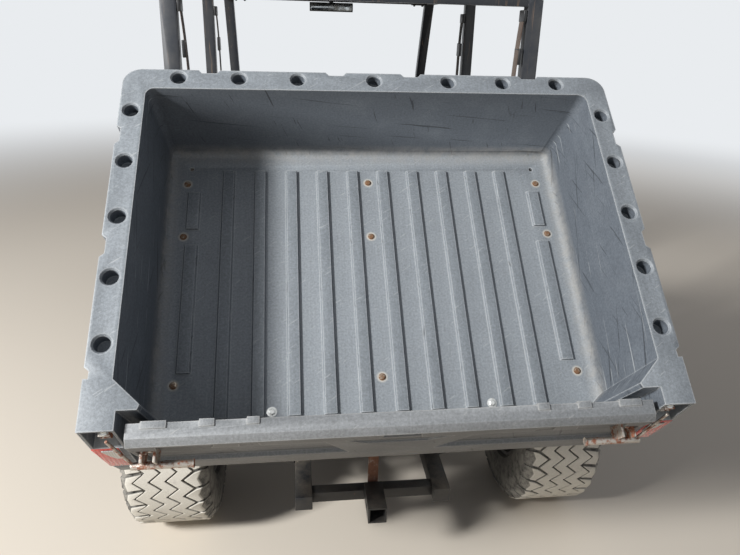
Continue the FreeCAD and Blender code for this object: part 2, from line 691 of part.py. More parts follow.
# Roof: one moulded panel on the rails with a raised middle, open underneath, and the mirror under its header
ROOF_HALF = POST_X + 71.0
ROOF_REAR_Y = REAR_POST_Y + 96.0
ROOF_FRONT_Y = HEADER_Y + 60.0
ROOF_RISE = 26.0


def roof_section(y, low):
    half = [(16, -102), (0, -62), (0, 0), (8, 0), (12, -66), (ROOF_RISE, -110)]
    outline = [(ROOF_HALF + inset, z) for z, inset in half]
    outline += [(-x, z) for x, z in outline[::-1]]
    return Part.Face(polygon_wire([(x, y, low + SOFT_GAP + z) for x, z in outline]))


def make_roof():
    (y0, _, z0), (y1, _, z1), _ = RAIL_STATIONS
    slope = (z1 - z0) / (y1 - y0)
    slanted_half = CAGE_TUBE / 2 * math.sqrt(1 + slope ** 2)
    rear_low, front_low = z0 + slope * (ROOF_REAR_Y - y0) + slanted_half, z1 + CAGE_TUBE / 2
    bend_y = ROOF_REAR_Y + (front_low - rear_low) / slope
    rear = roof_section(ROOF_REAR_Y, rear_low).extrude(VEC(0, bend_y - ROOF_REAR_Y, front_low - rear_low))
    front = roof_section(bend_y, front_low).extrude(VEC(0, ROOF_FRONT_Y - bend_y, 0))
    save("roof_panel", [joined([rear, front])])
    header_low = CAGE_RAIL_Z - CAGE_TUBE / 2
    body = eased(block(-143, 143, HEADER_Y - 62, HEADER_Y - 32, header_low - 61, header_low - 6), 10)
    stem = block(-14, 14, HEADER_Y - 56, HEADER_Y - 40, header_low - 12, header_low + 20)
    foot = block(-30, 30, HEADER_Y - 56, HEADER_Y - CAGE_TUBE / 2, header_low + 8, header_low + 36)
    save("rear_view_mirror", [joined([body, stem, foot])])


# Seat belts: webbing that hangs down each post, with its guide, tongue and reel
BELT_GUIDE_Z = CAGE_RAIL_Z - 126.0
BELT_TONGUE_Z = BELT_GUIDE_Z - 152.0
REEL_TOP_Z = 760.0


def inner_face(line, width, z):
    """The x of a post's inner face at a height."""
    for (x0, z0), (x1, z1) in zip(line[:-1], line[1:]):
        if z0 <= z <= z1:
            across = width * math.hypot(x1 - x0, z1 - z0) / (z1 - z0)
            return x0 + (x1 - x0) * (z - z0) / (z1 - z0) - across / 2


def make_belts():
    belts = []
    for y, line, width in POSTS:
        low = inner_face(line, width, REEL_TOP_Z) - 20
        high = inner_face(line, width, BELT_GUIDE_Z) - 12
        foot = min(inner_face(line, width, REEL_TOP_Z - 120), inner_face(line, width, REEL_TOP_Z))
        top = min(inner_face(line, width, BELT_GUIDE_Z - 20), inner_face(line, width, BELT_GUIDE_Z + 24))
        share = (BELT_TONGUE_Z - REEL_TOP_Z) / (BELT_GUIDE_Z - REEL_TOP_Z)
        at_tongue = low + (high - low) * share
        web = cross_prism([(low - 1.5, REEL_TOP_Z), (low + 1.5, REEL_TOP_Z), (high + 1.5, BELT_GUIDE_Z),
                           (high - 1.5, BELT_GUIDE_Z)], y - 24, y + 24)
        guide = block(high - 8, top, y - 20, y + 20, BELT_GUIDE_Z - 20, BELT_GUIDE_Z + 24)
        tongue = block(at_tongue - 6, at_tongue + 6, y - 20, y + 20, BELT_TONGUE_Z - 32, BELT_TONGUE_Z + 32)
        reel = block(foot - 26, foot, y - 22, y + 22, REEL_TOP_Z - 120, REEL_TOP_Z)
        belts += both_sides(joined([web, guide, tongue, reel]))
    save("seat_belts", belts)


# Dashboard: a folded shell with an instrument pod and a glove recess
def make_dashboard():
    outer = [(COWL_Y - 20, 760), (DASH_REAR_Y + 90, 760), (DASH_REAR_Y + 20, 820), (DASH_REAR_Y, 960),
             (DASH_REAR_Y + 60, 1015), (COWL_Y - 20, 1030)]
    inner = [(COWL_Y - 19, 740), (DASH_REAR_Y + 110, 740), (DASH_REAR_Y + 34, 826), (DASH_REAR_Y + 16, 954),
             (DASH_REAR_Y + 66, 1001), (COWL_Y - 19, 1016)]
    shell = side_prism(outer, -DASH_HALF, DASH_HALF)
    shell = shell.cut(side_prism(inner, -DASH_HALF + 8, DASH_HALF - 8))
    pod = side_prism([(DASH_REAR_Y + 20, 975), (DASH_REAR_Y + 90, 1085), (DASH_REAR_Y + 190, 1090),
                      (DASH_REAR_Y + 260, 1020)], STEER_WHEEL_X - 120, STEER_WHEEL_X + 120)
    pod = pod.cut(shell)
    pod = max(pod.Solids, key=lambda solid: solid.BoundBox.ZMax)
    recess_sheet = block(120, 480, DASH_REAR_Y - 20, DASH_REAR_Y + 40, 850, 940)
    shell = shell.cut(recess_sheet)
    tray = block(112, 488, DASH_REAR_Y + 14, DASH_REAR_Y + 130, 842, 948)
    tray = tray.cut(block(120, 480, DASH_REAR_Y, DASH_REAR_Y + 124, 850, 940))
    tray = tray.common(side_prism(outer, -DASH_HALF, DASH_HALF))
    save("dashboard", [joined([shell.cut(column_bore()), pod.cut(column_bore()), tray])])


def column_direction():
    slope = math.radians(COLUMN_ANGLE)
    return VEC(0, math.cos(slope), -math.sin(slope))


def column_bore():
    start = VEC(STEER_WHEEL_X, STEER_WHEEL_Y, STEER_WHEEL_Z)
    return Part.makeCylinder(26, 900, start, column_direction())


# Steering: a wheel that turns on a fixed column, and a rack that pushes two tie rods
RACK_Y = FRONT_AXLE_Y - STEER_ARM
RACK_Z = TYRE_RADIUS + 28.0
RACK_ROD = 10.5
SHAFT_HOLE = 18.0
COLUMN_LENGTH = 420.0


def column_top():
    return VEC(STEER_WHEEL_X, STEER_WHEEL_Y, STEER_WHEEL_Z) + column_direction() * (35 + RUNNING_GAP)


def steering_shaft(radius):
    """The shaft from the column's foot down to the rack."""
    foot = column_top() + column_direction() * COLUMN_LENGTH
    return bar(tuple(foot), (-150, RACK_Y, RACK_Z), 2 * radius)


def make_steering():
    forward = column_direction()
    centre = VEC(STEER_WHEEL_X, STEER_WHEEL_Y, STEER_WHEEL_Z)
    grip = [(STEER_GRIP * math.cos(turn), STEER_WHEEL_RADIUS + STEER_GRIP * math.sin(turn))
            for turn in (math.pi / 3 * step for step in range(6))]
    ring = faceted(grip, 32)
    ring.Placement = FreeCAD.Placement(centre, FreeCAD.Rotation(VEC(1, 0, 0), forward))
    hub = bar(tuple(centre + forward * 5), tuple(centre + forward * 35), 84, 16)
    spokes = []
    for angle in (0, 125, 235):
        spoke = block(-16, 16, -6, 6, 30, STEER_WHEEL_RADIUS - 8)
        spoke.rotate(VEC(0, 0, 0), VEC(0, 1, 0), angle + 180)
        spoke.rotate(VEC(0, 0, 0), VEC(1, 0, 0), -COLUMN_ANGLE)
        spoke.translate(centre + forward * 14)
        spokes.append(spoke)
    save("steering_wheel", [joined([ring, hub] + spokes)])
    column = Part.makeCylinder(25, COLUMN_LENGTH, column_top(), forward)
    housing = cross_bar(26, -190, 190, RACK_Y, RACK_Z)
    saddles = both_sides(block(-RAIL_INNER_X, -150, RACK_Y - 20, RACK_Y + 20, RAIL_TOP_Z - 20, RACK_Z))
    whole = joined([column, steering_shaft(11), housing] + saddles)
    save("steering_column", [whole.cut(cross_bar(RACK_ROD + RUNNING_GAP, -400, 400, RACK_Y, RACK_Z))])
    rods = cross_bar(RACK_ROD, -KINGPIN_X + 6, KINGPIN_X - 6, RACK_Y, RACK_Z)
    eyes = both_sides(Part.makeCylinder(16, 20, VEC(KINGPIN_X - 6, RACK_Y, RACK_Z - 10)))
    save("tie_rods", [joined([rods] + eyes)])


# Front bodywork: a hood over the front axle, a fender each side, a grille and lamps
def make_front(cage):
    sections = (  # y, half width, bottom z, top z
        (COWL_Y, HOOD_HALF, 700.0, HOOD_TOP_Z),
        (COWL_Y + 0.55 * (NOSE_Y - COWL_Y), HOOD_HALF, 690.0, HOOD_TOP_Z - 45),
        (NOSE_Y, HOOD_HALF, 640.0, NOSE_TOP_Z))
    outer = hood_form(sections, 0.0)
    inner = hood_form(sections, BODY_SHEET)
    save("hood", [outer.cut(inner)])
    fender = side_prism(fender_outline(0.0), HOOD_HALF, FENDER_OUTER_X)
    hollow = side_prism(fender_outline(BODY_SHEET), HOOD_HALF - 1, FENDER_OUTER_X - BODY_SHEET)
    cab = side_prism(toe_outline(1) + [(TOE_Y + FLOOR_SHEET, 1100), (TOE_Y - 200, 1100)], 0, CAB_HALF)
    lamp = side_prism([(NOSE_Y + 2, 720), (NOSE_Y + 44, 716), (NOSE_Y + 26, 800), (NOSE_Y - 16, 806)],
                      LAMP_INNER_X, LAMP_OUTER_X)
    fender = fender.cut([hollow, cab, lamp] + cage)
    fender = max(fender.Solids, key=lambda solid: solid.Volume)
    save("front_fenders", both_sides(fender))
    save("headlamps", both_sides(lamp))
    frame = block(-GRILLE_HALF, GRILLE_HALF, NOSE_Y, NOSE_Y + 24, 650,
                  NOSE_TOP_Z - BODY_SHEET + GRILLE_SEAT)
    for index in range(4):
        frame = frame.cut(block(30 - GRILLE_HALF, GRILLE_HALF - 30, NOSE_Y - 1, NOSE_Y + 25,
                                668 + index * 42, 668 + index * 42 + 28))
    save("grille", [frame])


def hood_form(sections, sheet):
    """The hood's outside, or at one sheet its inside, which runs out past both ends and below."""
    rings = []
    for index, (y, half, low, high) in enumerate(sections):
        if sheet:
            y += {0: -1, len(sections) - 1: 1}.get(index, 0)
            half, low, high = half - sheet, low - 1, high - sheet
        rings.append([VEC(x, y, z) for x, z in (
            (-half, low), (half, low), (half, high - 60), (half - 90, high), (90 - half, high),
            (-half, high - 60))])
    faces = [flat_face(rings[0]), flat_face(rings[-1])]
    for here, there in zip(rings[:-1], rings[1:]):
        faces += planked(here, there)
    return solid_of(faces)


def fender_outline(sheet):
    """The fender's side view over the wheel arch, drawn in by one sheet for its inside."""
    points = []
    for step in range(13):
        angle = math.radians(8 + step * 13.6)
        radius = ARCH_RADIUS - (1 if sheet else 0)
        points.append((FRONT_AXLE_Y + radius * math.cos(angle), TYRE_RADIUS + radius * math.sin(angle)))
    top = [(COWL_Y - 60 + sheet, 420), (COWL_Y - 40 + sheet, 900 - sheet), (FRONT_AXLE_Y, 880 - sheet),
           (NOSE_Y - sheet, 805 - sheet), (NOSE_Y + 50 - sheet, 700), (NOSE_Y + 40 - sheet, 400)]
    return points + top


# Front bumper: bent tubes in front of the grille, on the ends of the lower rails
BUMPER_X = 205.0
BUMPER_TUBE = 38.0
BUMPER_RAIL = 32.0


def make_bumper():
    y = FRONT_END_Y - BUMPER_TUBE / 2
    hoops = []
    for x in (-BUMPER_X, BUMPER_X):
        hoops.append(bar((x, y - 60, 300), (x, y, 640), BUMPER_TUBE))
        hoops.append(block(x - 10, x + 10, CROSS_TUBES_Y[-1] + 20, y - 30, 275, 325))
    for z, half in ((330, 300), (480, 340), (630, 260)):
        rail_y = y - 60 * (640 - z) / 340
        hoops.append(bar((-half, rail_y, z), (half, rail_y, z), BUMPER_RAIL))
    save("front_bumper", [joined(hoops)])


# Bed box: drafted walls, a hollow rim with accessory holes, a ribbed floor and corner posts
def drafted(half_low, half_high, v0, v1, w0, w1):
    """A block whose sides lean outwards from half_low at w0 to half_high at w1."""
    outline = [(-half_low, w0), (half_low, w0), (half_high, w1), (-half_high, w1)]
    return cross_prism([(u, bed_z(w)) for u, w in outline], bed_y(v0), bed_y(v1))


def bed_cavity():
    cavity = drafted(BED_HALF_FLOOR, BED_HALF_INSIDE, -100, BED_FLOOR_FRONT, 0, BED_DEPTH)
    feet = []
    for edge in cavity.Edges:
        middle = edge.CenterOfMass
        at_rear = middle.y < bed_y(0)
        on_top = middle.z > bed_z(BED_DEPTH) - 1
        if not at_rear and not on_top:
            feet.append(edge)
    return cavity.makeFillet(FOOT_FILLET, feet)


def bed_box():
    walls = drafted(BED_HALF_FLOOR + BED_WALL, BED_HALF_INSIDE + BED_WALL, BED_FLOOR_REAR,
                    BED_FLOOR_FRONT + BED_WALL, -BED_WALL, BED_DEPTH)
    rim_low = BED_DEPTH - RIM_LIP
    rim_block = bed_block(-BED_HALF_OUTSIDE, BED_HALF_OUTSIDE, 0, BED_RIM_FRONT, rim_low, BED_DEPTH)
    rounds = [edge for edge in rim_block.Edges
              if abs(edge.CenterOfMass.z - bed_z(BED_DEPTH - RIM_LIP / 2)) < 1
              and edge.CenterOfMass.y > bed_y(500)]
    rim_block = rim_block.makeFillet(RIM_CORNER, rounds).cut(rim_notches())
    outer_u = BED_HALF_OUTSIDE - NOTCH_DEPTH - 6
    inner_u = BED_HALF_INSIDE + BED_WALL - 1
    channel = bed_block(-outer_u, outer_u, 100, BED_RIM_FRONT - NOTCH_DEPTH - 6,
                        rim_low, BED_DEPTH - RIM_PLATE)
    channel = channel.makeFillet(RIM_CORNER - 10, [
        edge for edge in channel.Edges
        if abs(edge.CenterOfMass.z - bed_z(BED_DEPTH - (RIM_LIP + RIM_PLATE) / 2)) < 1
        and edge.CenterOfMass.y > bed_y(500)])
    keep = bed_block(-inner_u, inner_u, -10, BED_FLOOR_FRONT + BED_WALL - 1, rim_low - 1, BED_DEPTH)
    rim_shell = rim_block.cut(channel.cut([keep] + hole_bosses(rim_low)))
    posts = both_sides(corner_post())
    box = joined([walls, rim_shell] + posts)
    box = box.cut(bed_cavity().cut(posts))
    box = box.fuse(floor_ribs()).removeSplitter()
    return box.cut(rim_holes() + drain_holes() + both_sides(latch_pocket()))


POCKET_FLOOR_W = 205.0
POCKET_FRONT_V = 30.0
LAMP_LOW_W = 84.0
GUSSET_TIP = 135.0


def corner_post():
    """A pillar with a seal gusset in front of the tailgate, a latch pocket above and a lamp seat below."""
    outline = [(POST_INNER_U, -42), (BED_HALF_OUTSIDE - 14, -42), (BED_HALF_OUTSIDE, -20),
               (BED_HALF_OUTSIDE, 121), (BED_HALF_INSIDE + 2, 121), (BED_HALF_OUTSIDE - GUSSET_TIP, 56),
               (BED_HALF_OUTSIDE - GUSSET_TIP + 5, 43), (POST_INNER_U, 43)]
    post = plan_prism([(u, bed_y(v)) for u, v in outline], bed_z(-20), bed_z(BED_DEPTH))
    behind = bed_side_prism([
        (-60, BED_DEPTH + 1), (-3, BED_DEPTH + 1), (-3, BED_DEPTH - 10), (-21, POCKET_FLOOR_W),
        (-42, LAMP_LOW_W), (-60, LAMP_LOW_W)], 0, BED_HALF_OUTSIDE + 1)
    under = bed_block(0, BED_HALF_OUTSIDE + 1, 43, 122, -21, -BED_WALL)
    return post.cut([behind, under])


def latch_pocket():
    return bed_block(POST_INNER_U + 6, BED_HALF_OUTSIDE - 7, -60, POCKET_FRONT_V,
                     POCKET_FLOOR_W, BED_DEPTH - RIM_PLATE)


def rim_notches():
    """Shallow bays in the rim's outer edge: beside every second hole at the sides, four in front."""
    low, high = bed_z(BED_DEPTH - RIM_LIP - 1), bed_z(BED_DEPTH + 1)
    mouth, floor = NOTCH_MOUTH / 2, NOTCH_FLOOR / 2
    notches = []
    bay = [(-mouth, 1), (mouth, 1), (floor, -NOTCH_DEPTH), (-floor, -NOTCH_DEPTH)]
    outlines = []
    for hole_v in SIDE_HOLES_V[::2]:
        middle = hole_v - HOLE_PITCH / 2
        outlines.append([(BED_HALF_OUTSIDE + depth, middle + along) for along, depth in bay])
    for middle in (FRONT_HOLES_U[0] - HOLE_PITCH / 2, FRONT_HOLES_U[2] / 2):
        outlines.append([(middle + along, BED_RIM_FRONT + depth) for along, depth in bay])
    for outline in outlines:
        notches += both_sides(plan_prism([(u, bed_y(v)) for u, v in outline], low, high))
    return notches


def hole_places():
    places = [(0.0, FRONT_HOLES_V)]
    for side in (-1, 1):
        places += [(side * u, FRONT_HOLES_V) for u in FRONT_HOLES_U]
        places += [(side * HOLE_LINE_U, v) for v in SIDE_HOLES_V]
    return places


def hole_bosses(rim_low):
    """Solid blocks in the hollow rim, in which the accessory holes end."""
    half = HOLE_RADIUS + 8
    return [bed_block(u - half - 8, u + half + 8, v - half, v + half, rim_low - 1, BED_DEPTH)
            if v < FRONT_HOLES_V else
            bed_block(u - half, u + half, v - half - 12, v + half + 12, rim_low - 1, BED_DEPTH)
            for u, v in hole_places()]


def rim_holes():
    """Blind round holes with a flared mouth in the rim's top."""
    plug = faceted([(-HOLE_DEPTH, 0), (-HOLE_DEPTH, HOLE_RADIUS), (-HOLE_MOUTH, HOLE_RADIUS),
                    (1, HOLE_RADIUS + HOLE_MOUTH + 1), (1, 0)], HOLE_SIDES)
    plug.rotate(VEC(0, 0, 0), VEC(0, 1, 0), -90)
    return [moved(plug, u, bed_y(v), bed_z(BED_DEPTH)) for u, v in hole_places()]


def floor_ribs():
    ribs = []
    for index in range(FLOOR_RIBS):
        u = (index - (FLOOR_RIBS - 1) / 2) * FLOOR_RIB_PITCH
        ribs.append(rib(u, FLOOR_RIB_WIDTH, FLOOR_RIB_REAR, FLOOR_RIB_FRONT))
    for u in (81.5 - BED_HALF_FLOOR, BED_HALF_FLOOR - 81.5):
        ribs.append(rib(u, 45, 700, 840))
        ribs.append(rib(u, 45, 217, 641))
    return ribs


def rib(u, width, v0, v1):
    half = width / 2
    top = half - 5
    outline = [(-half, 0), (half, 0), (top, FLOOR_RIB_HEIGHT), (-top, FLOOR_RIB_HEIGHT)]
    return cross_prism([(u + across, bed_z(w)) for across, w in outline], bed_y(v0), bed_y(v1))


def drain_holes():
    return [Part.makeCylinder(7, BED_WALL + 2, VEC(u, bed_y(937), bed_z(-BED_WALL - 1)))
            for u in (68 - BED_HALF_FLOOR, BED_HALF_FLOOR - 68)]


# Bed frame: cross bars under the floor on two long rails with hinge eyes
BED_CROSS_BARS_V = (75.0, 330.0, HINGE_V + STRUT_HEAD_Y, 960.0)
BED_CROSS_BAR = 30.0
BED_RAIL_TOP_W = -BED_WALL - BED_CROSS_BAR
BED_RAIL_LOW_W = -82.0


def bed_cross_bars():
    half = BED_HALF_FLOOR - 30
    bars = [bed_block(-half, half, v - 20, v + 20, BED_RAIL_TOP_W, -BED_WALL) for v in BED_CROSS_BARS_V]
    head = bed_strut_head()
    bars[2] = joined([bars[2]] + head)
    return bars


def bed_strut_head():
    """Two ears and a pin under a cross bar, where the lift strut's rod ends."""
    v = HINGE_V + STRUT_HEAD_Y
    pieces = [bed_block(x, x + 5, v - 18, v + 18, -HINGE_DROP - 16, BED_RAIL_TOP_W)
              for x in (STRUT_X - 20, STRUT_X + 15)]
    pieces.append(cross_bar(5, STRUT_X - 20, STRUT_X + 20, bed_y(v), bed_z(-HINGE_DROP)))
    return pieces


def bed_rails():
    centre = UPPER_RAIL_X + UPPER_RAIL_WIDTH / 2
    rail = bed_block(centre - 20, centre + 20, 50, 985, BED_RAIL_LOW_W, BED_RAIL_TOP_W)
    eye = cross_bar(26, centre - 20, centre + 20, HINGE_Y, HINGE_Z)
    bore = cross_bar(HINGE_PIN + RUNNING_GAP, centre - 21, centre + 21, HINGE_Y, HINGE_Z)
    return both_sides(joined([rail, eye]).cut(bore))


# Tail lamps: a slanted lens let into the outer corner of each post, under its latch pocket
LAMP_WIDTH = 65.0


def tail_lamp():
    outline = [(-24, POCKET_FLOOR_W - 2), (-46, LAMP_LOW_W + 4), (-40, LAMP_LOW_W - 6), (8, LAMP_LOW_W - 6),
               (8, POCKET_FLOOR_W - 2)]
    lamp = bed_side_prism(outline, BED_HALF_OUTSIDE - LAMP_WIDTH, BED_HALF_OUTSIDE + 1.5)
    corner = plan_prism([(u, bed_y(v)) for u, v in (
        (BED_HALF_OUTSIDE - 18, -50), (BED_HALF_OUTSIDE + 2, -50), (BED_HALF_OUTSIDE + 2, -20))],
        bed_z(0), bed_z(BED_DEPTH))
    return lamp.cut(corner)


# Corner brackets: a steel plate with a hinge pin inside each corner post, and a striker in its pocket
def corner_bracket():
    plate = bed_block(POST_INNER_U - 3, POST_INNER_U, -36, 14, GATE_HINGE_W - 22, GATE_HINGE_W + 40)
    pin = cross_bar(GATE_PIN, GATE_HALF - 26, POST_INNER_U, bed_y(GATE_HINGE_V), bed_z(GATE_HINGE_W))
    return joined([plate, pin])


def striker():
    """Two flat ears that stand out of the pocket's front wall, for the latch rod's end."""
    u = POST_INNER_U + 30
    ears = [bed_block(u - 14, u + 14, -8, POCKET_FRONT_V, w, w + 4) for w in (262, 284)]
    return joined(ears + [bed_block(u - 14, u + 14, POCKET_FRONT_V - 5, POCKET_FRONT_V, 262, 288)])


# Tailgate: a moulded panel between the corner posts, hinged at its foot
def tailgate():
    top = BED_DEPTH - GATE_TOP_DROP
    section = [(GATE_OUTER_V, -GATE_LIP_DROP), (-15, -GATE_LIP_DROP), (-15, -30), (GATE_INNER_V - 22, -30),
               (GATE_INNER_V, -4), (GATE_INNER_V, top), (-20, top), (GATE_OUTER_V, top - 14)]
    gate = bed_side_prism(section, -GATE_HALF, GATE_HALF)
    gate = joined([gate.cut(gate_recesses())] + gate_pads())
    bore = cross_bar(GATE_PIN + RUNNING_GAP, GATE_HALF - 30, GATE_HALF + 1,
                     bed_y(GATE_HINGE_V), bed_z(GATE_HINGE_W))
    return gate.cut(both_sides(bore))


FASCIA_LOW_W = 236.0
PANEL_LOW_W = 60.0
PANEL_DEPTH = 14.0
POCKET_DEPTH = 24.0
GATE_CUTS = (  # depth, then u and w of the corners of a cut in the outer face, right side only
    (PANEL_DEPTH, ((0.29 * GATE_HALF, FASCIA_LOW_W), (GATE_HALF - 10, FASCIA_LOW_W),
                   (GATE_HALF - 10, PANEL_LOW_W), (0.184 * GATE_HALF, PANEL_LOW_W))),
    (POCKET_DEPTH, ((GATE_HALF - 187, FASCIA_LOW_W - 6), (GATE_HALF - 200, 274), (GATE_HALF - 66, 274),
                    (GATE_HALF - 60, FASCIA_LOW_W - 6))),
    (POCKET_DEPTH, ((0.527 * GATE_HALF, 212), (0.536 * GATE_HALF, 272), (0.603 * GATE_HALF, 272),
                    (0.612 * GATE_HALF, 212))),
    (6.0, ((-1, FASCIA_LOW_W + 2), (0.214 * GATE_HALF, FASCIA_LOW_W + 2), (0.122 * GATE_HALF, 184),
           (-1, 184))),
    (POCKET_DEPTH + 4, ((-1, 220), (-1, 282), (0.07 * GATE_HALF, 282), (0.086 * GATE_HALF, 220))))
GATE_PADS = (  # ends of the pads on the right half, as shares of the tailgate's half width
    (0.528, 0.574), (0.689, 0.743), (0.858, 0.949))


def gate_recesses():
    recesses = []
    for depth, corners in GATE_CUTS:
        cut = cross_prism([(u, bed_z(w)) for u, w in corners],
                          bed_y(GATE_OUTER_V) - 1, bed_y(GATE_OUTER_V + depth))
        recesses += both_sides(cut)
    return recesses


def gate_pads():
    """Low pads along the inner edge of the tailgate's top."""
    top = BED_DEPTH - GATE_TOP_DROP
    return both_sides(*[bed_block(start * GATE_HALF, end * GATE_HALF, 2, GATE_INNER_V + 4, top - 16, top + 3)
                        for start, end in GATE_PADS])


# Tailgate latches: a bracket and a tube at each end of the tailgate's outer face, and a rod to the striker
LATCH_TUBE_V = -60.0
LATCH_TUBE_W = 160.0
LATCH_TUBE_RADIUS = 10.0


def tailgate_latch():
    face = GATE_OUTER_V + PANEL_DEPTH
    tube_u = POST_INNER_U - 4
    plate = bed_block(GATE_HALF - 52, GATE_HALF - 12, face - 4, face, 176, 230)
    arm = bed_block(GATE_HALF - 52, GATE_HALF - 46, LATCH_TUBE_V, face, LATCH_TUBE_W - 12, 206)
    nose = bed_block(GATE_HALF - 20, GATE_HALF - 14, LATCH_TUBE_V, face, LATCH_TUBE_W - 12, 206)
    tube = bar((tube_u - 149, bed_y(LATCH_TUBE_V), bed_z(LATCH_TUBE_W)),
               (tube_u, bed_y(LATCH_TUBE_V), bed_z(LATCH_TUBE_W)), 2 * LATCH_TUBE_RADIUS)
    rod = bar((tube_u - 6, bed_y(LATCH_TUBE_V + 2), bed_z(LATCH_TUBE_W)),
              (POST_INNER_U + 28, bed_y(-18), bed_z(275)), 8, 8)
    return joined([plate, arm, nose, tube, rod])


# Lift strut: a barrel on the frame and a rod that slides in it, in line with both pins
STRUT_BARREL = 300.0
STRUT_BORE = 9.3
STRUT_ROD = 9.0
STRUT_ROD_FOOT = 122.0
STRUT_EYE_SLACK = 14.0


def strut_ends():
    foot = VEC(STRUT_X, HINGE_Y + STRUT_FOOT_Y, HINGE_Z + STRUT_FOOT_Z)
    head = tipped(Part.Vertex(STRUT_X, HINGE_Y + STRUT_HEAD_Y, HINGE_Z)).Point
    return foot, head


def make_strut():
    foot, head = strut_ends()
    run = head - foot
    along = run * (1 / run.Length)
    barrel = Part.makeCylinder(16, STRUT_BARREL, foot, along)
    barrel = barrel.fuse(cross_bar(13, STRUT_X - 13, STRUT_X + 13, foot.y, foot.z))
    barrel = barrel.cut(Part.makeCylinder(STRUT_BORE, STRUT_BARREL, foot + along * 28, along))
    barrel = barrel.cut(cross_bar(6 + RUNNING_GAP, STRUT_X - 20, STRUT_X + 20, foot.y, foot.z))
    save("strut_barrel", [barrel])
    rod_length = run.Length - STRUT_ROD_FOOT - 20
    rod = Part.makeCylinder(STRUT_ROD, rod_length, foot + along * STRUT_ROD_FOOT, along)
    eye = cross_bar(STRUT_EYE_SLACK + 8, STRUT_X - 10, STRUT_X + 10, head.y, head.z)
    rod = rod.fuse(eye).cut(cross_bar(STRUT_EYE_SLACK, STRUT_X - 12, STRUT_X + 12, head.y, head.z))
    rod = max(rod.Solids, key=lambda solid: solid.Volume)
    save("strut_rod", [rod])


def make_bed():
    lamp = tail_lamp()
    box = bed_box().cut(both_sides(lamp))
    save("bed_box", [tipped(box)])
    save("bed_rails", [tipped(rail) for rail in bed_rails()])
    save("bed_cross_bars", [tipped(piece) for piece in bed_cross_bars()])
    save("tail_lamps", [tipped(piece) for piece in both_sides(lamp)])
    save("bed_corner_brackets", [tipped(piece) for piece in both_sides(corner_bracket(), striker())])
    save("tailgate", [tipped(tailgate())])
    save("tailgate_latches", [tipped(piece) for piece in both_sides(tailgate_latch())])


def main():
    os.makedirs("parts", exist_ok=True)
    make_wheels()
    make_suspension()
    make_frame()
    make_engine()
    cage = make_cage()
    make_floor(cage)
    make_seats()
    make_roof()
    make_belts()
    make_dashboard()
    make_steering()
    make_front(cage)
    make_bumper()
    make_strut()
    make_bed()


main()
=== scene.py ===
import json
import math

import bmesh
import bpy
from mathutils import Matrix, Vector


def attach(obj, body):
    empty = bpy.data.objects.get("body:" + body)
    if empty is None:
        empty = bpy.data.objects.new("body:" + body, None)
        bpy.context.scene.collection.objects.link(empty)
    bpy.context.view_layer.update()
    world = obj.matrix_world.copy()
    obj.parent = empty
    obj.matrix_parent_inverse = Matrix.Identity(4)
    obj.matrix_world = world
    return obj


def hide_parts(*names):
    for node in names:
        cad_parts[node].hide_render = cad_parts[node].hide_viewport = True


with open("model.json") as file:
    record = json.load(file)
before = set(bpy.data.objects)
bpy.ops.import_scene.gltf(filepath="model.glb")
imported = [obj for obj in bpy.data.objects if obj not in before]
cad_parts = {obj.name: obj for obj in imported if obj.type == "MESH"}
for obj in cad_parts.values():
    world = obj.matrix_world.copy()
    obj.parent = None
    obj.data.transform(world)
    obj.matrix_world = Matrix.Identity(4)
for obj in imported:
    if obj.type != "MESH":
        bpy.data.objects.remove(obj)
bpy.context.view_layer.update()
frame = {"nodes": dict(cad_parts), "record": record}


# The camera looks down into the raised bed from behind, from eye height and a little left of the middle.
# It was solved from the bed's rim, floor and holes: place in metres, angles in degrees.
CAMERA_PLACE = Vector((-0.243, -3.325, 1.806))
CAMERA_DOWN = math.radians(22.44)
CAMERA_RIGHT = math.radians(7.22)
CAMERA_ROLL = math.radians(1.62)
LENS_MM = 29.15
SENSOR_MM = 36.0

ahead = Vector((math.sin(CAMERA_RIGHT) * math.cos(CAMERA_DOWN),
                math.cos(CAMERA_RIGHT) * math.cos(CAMERA_DOWN),
                -math.sin(CAMERA_DOWN)))
level_right = ahead.cross(Vector((0, 0, 1))).normalized()
level_up = level_right.cross(ahead)
right = level_right * math.cos(CAMERA_ROLL) + level_up * math.sin(CAMERA_ROLL)
up = right.cross(ahead)
bpy.ops.object.camera_add(location=CAMERA_PLACE)
camera = bpy.context.object
camera.rotation_euler = Matrix((right, up, -ahead)).transposed().to_euler()
camera.data.lens = LENS_MM
camera.data.sensor_width = SENSOR_MM
bpy.context.scene.camera = camera
bpy.context.scene.view_settings.view_transform = "Standard"


# The studio: a pale floor that runs into a pale surround far behind the vehicle, one broad key lamp
# from the left behind the camera, where the sun stands in the photo, and a dim lamp in front.
FLOOR_COLOUR = "#d6cdbf"
SURROUND_COLOUR = "#e9ecef"
SKYLIGHT_COLOUR = "#f2f5ff"
FLOOR_SIZE = 400
FADE_START = 3.6
FADE_END = 11.0
SURROUND_LIGHT = 0.24
KEY_PLACE = Vector((-5.4, -4.5, 4.4))
KEY_AIM = Vector((0.0, -1.4, 0.9))
KEY_SIZE = 1.0
KEY_WATTS = 745
FILL_PLACE = Vector((4.8, 5.5, 3.4))
FILL_AIM = Vector((0.0, 0.6, 0.9))
FILL_SIZE = 4.0
FILL_WATTS = 60


def linear(code):
    """An sRGB hex colour as linear red, green, blue and alpha."""
    parts = [int(code[i:i + 2], 16) / 255 for i in (1, 3, 5)]
    return [c / 12.92 if c <= 0.04045 else ((c + 0.055) / 1.055) ** 2.4 for c in parts] + [1.0]


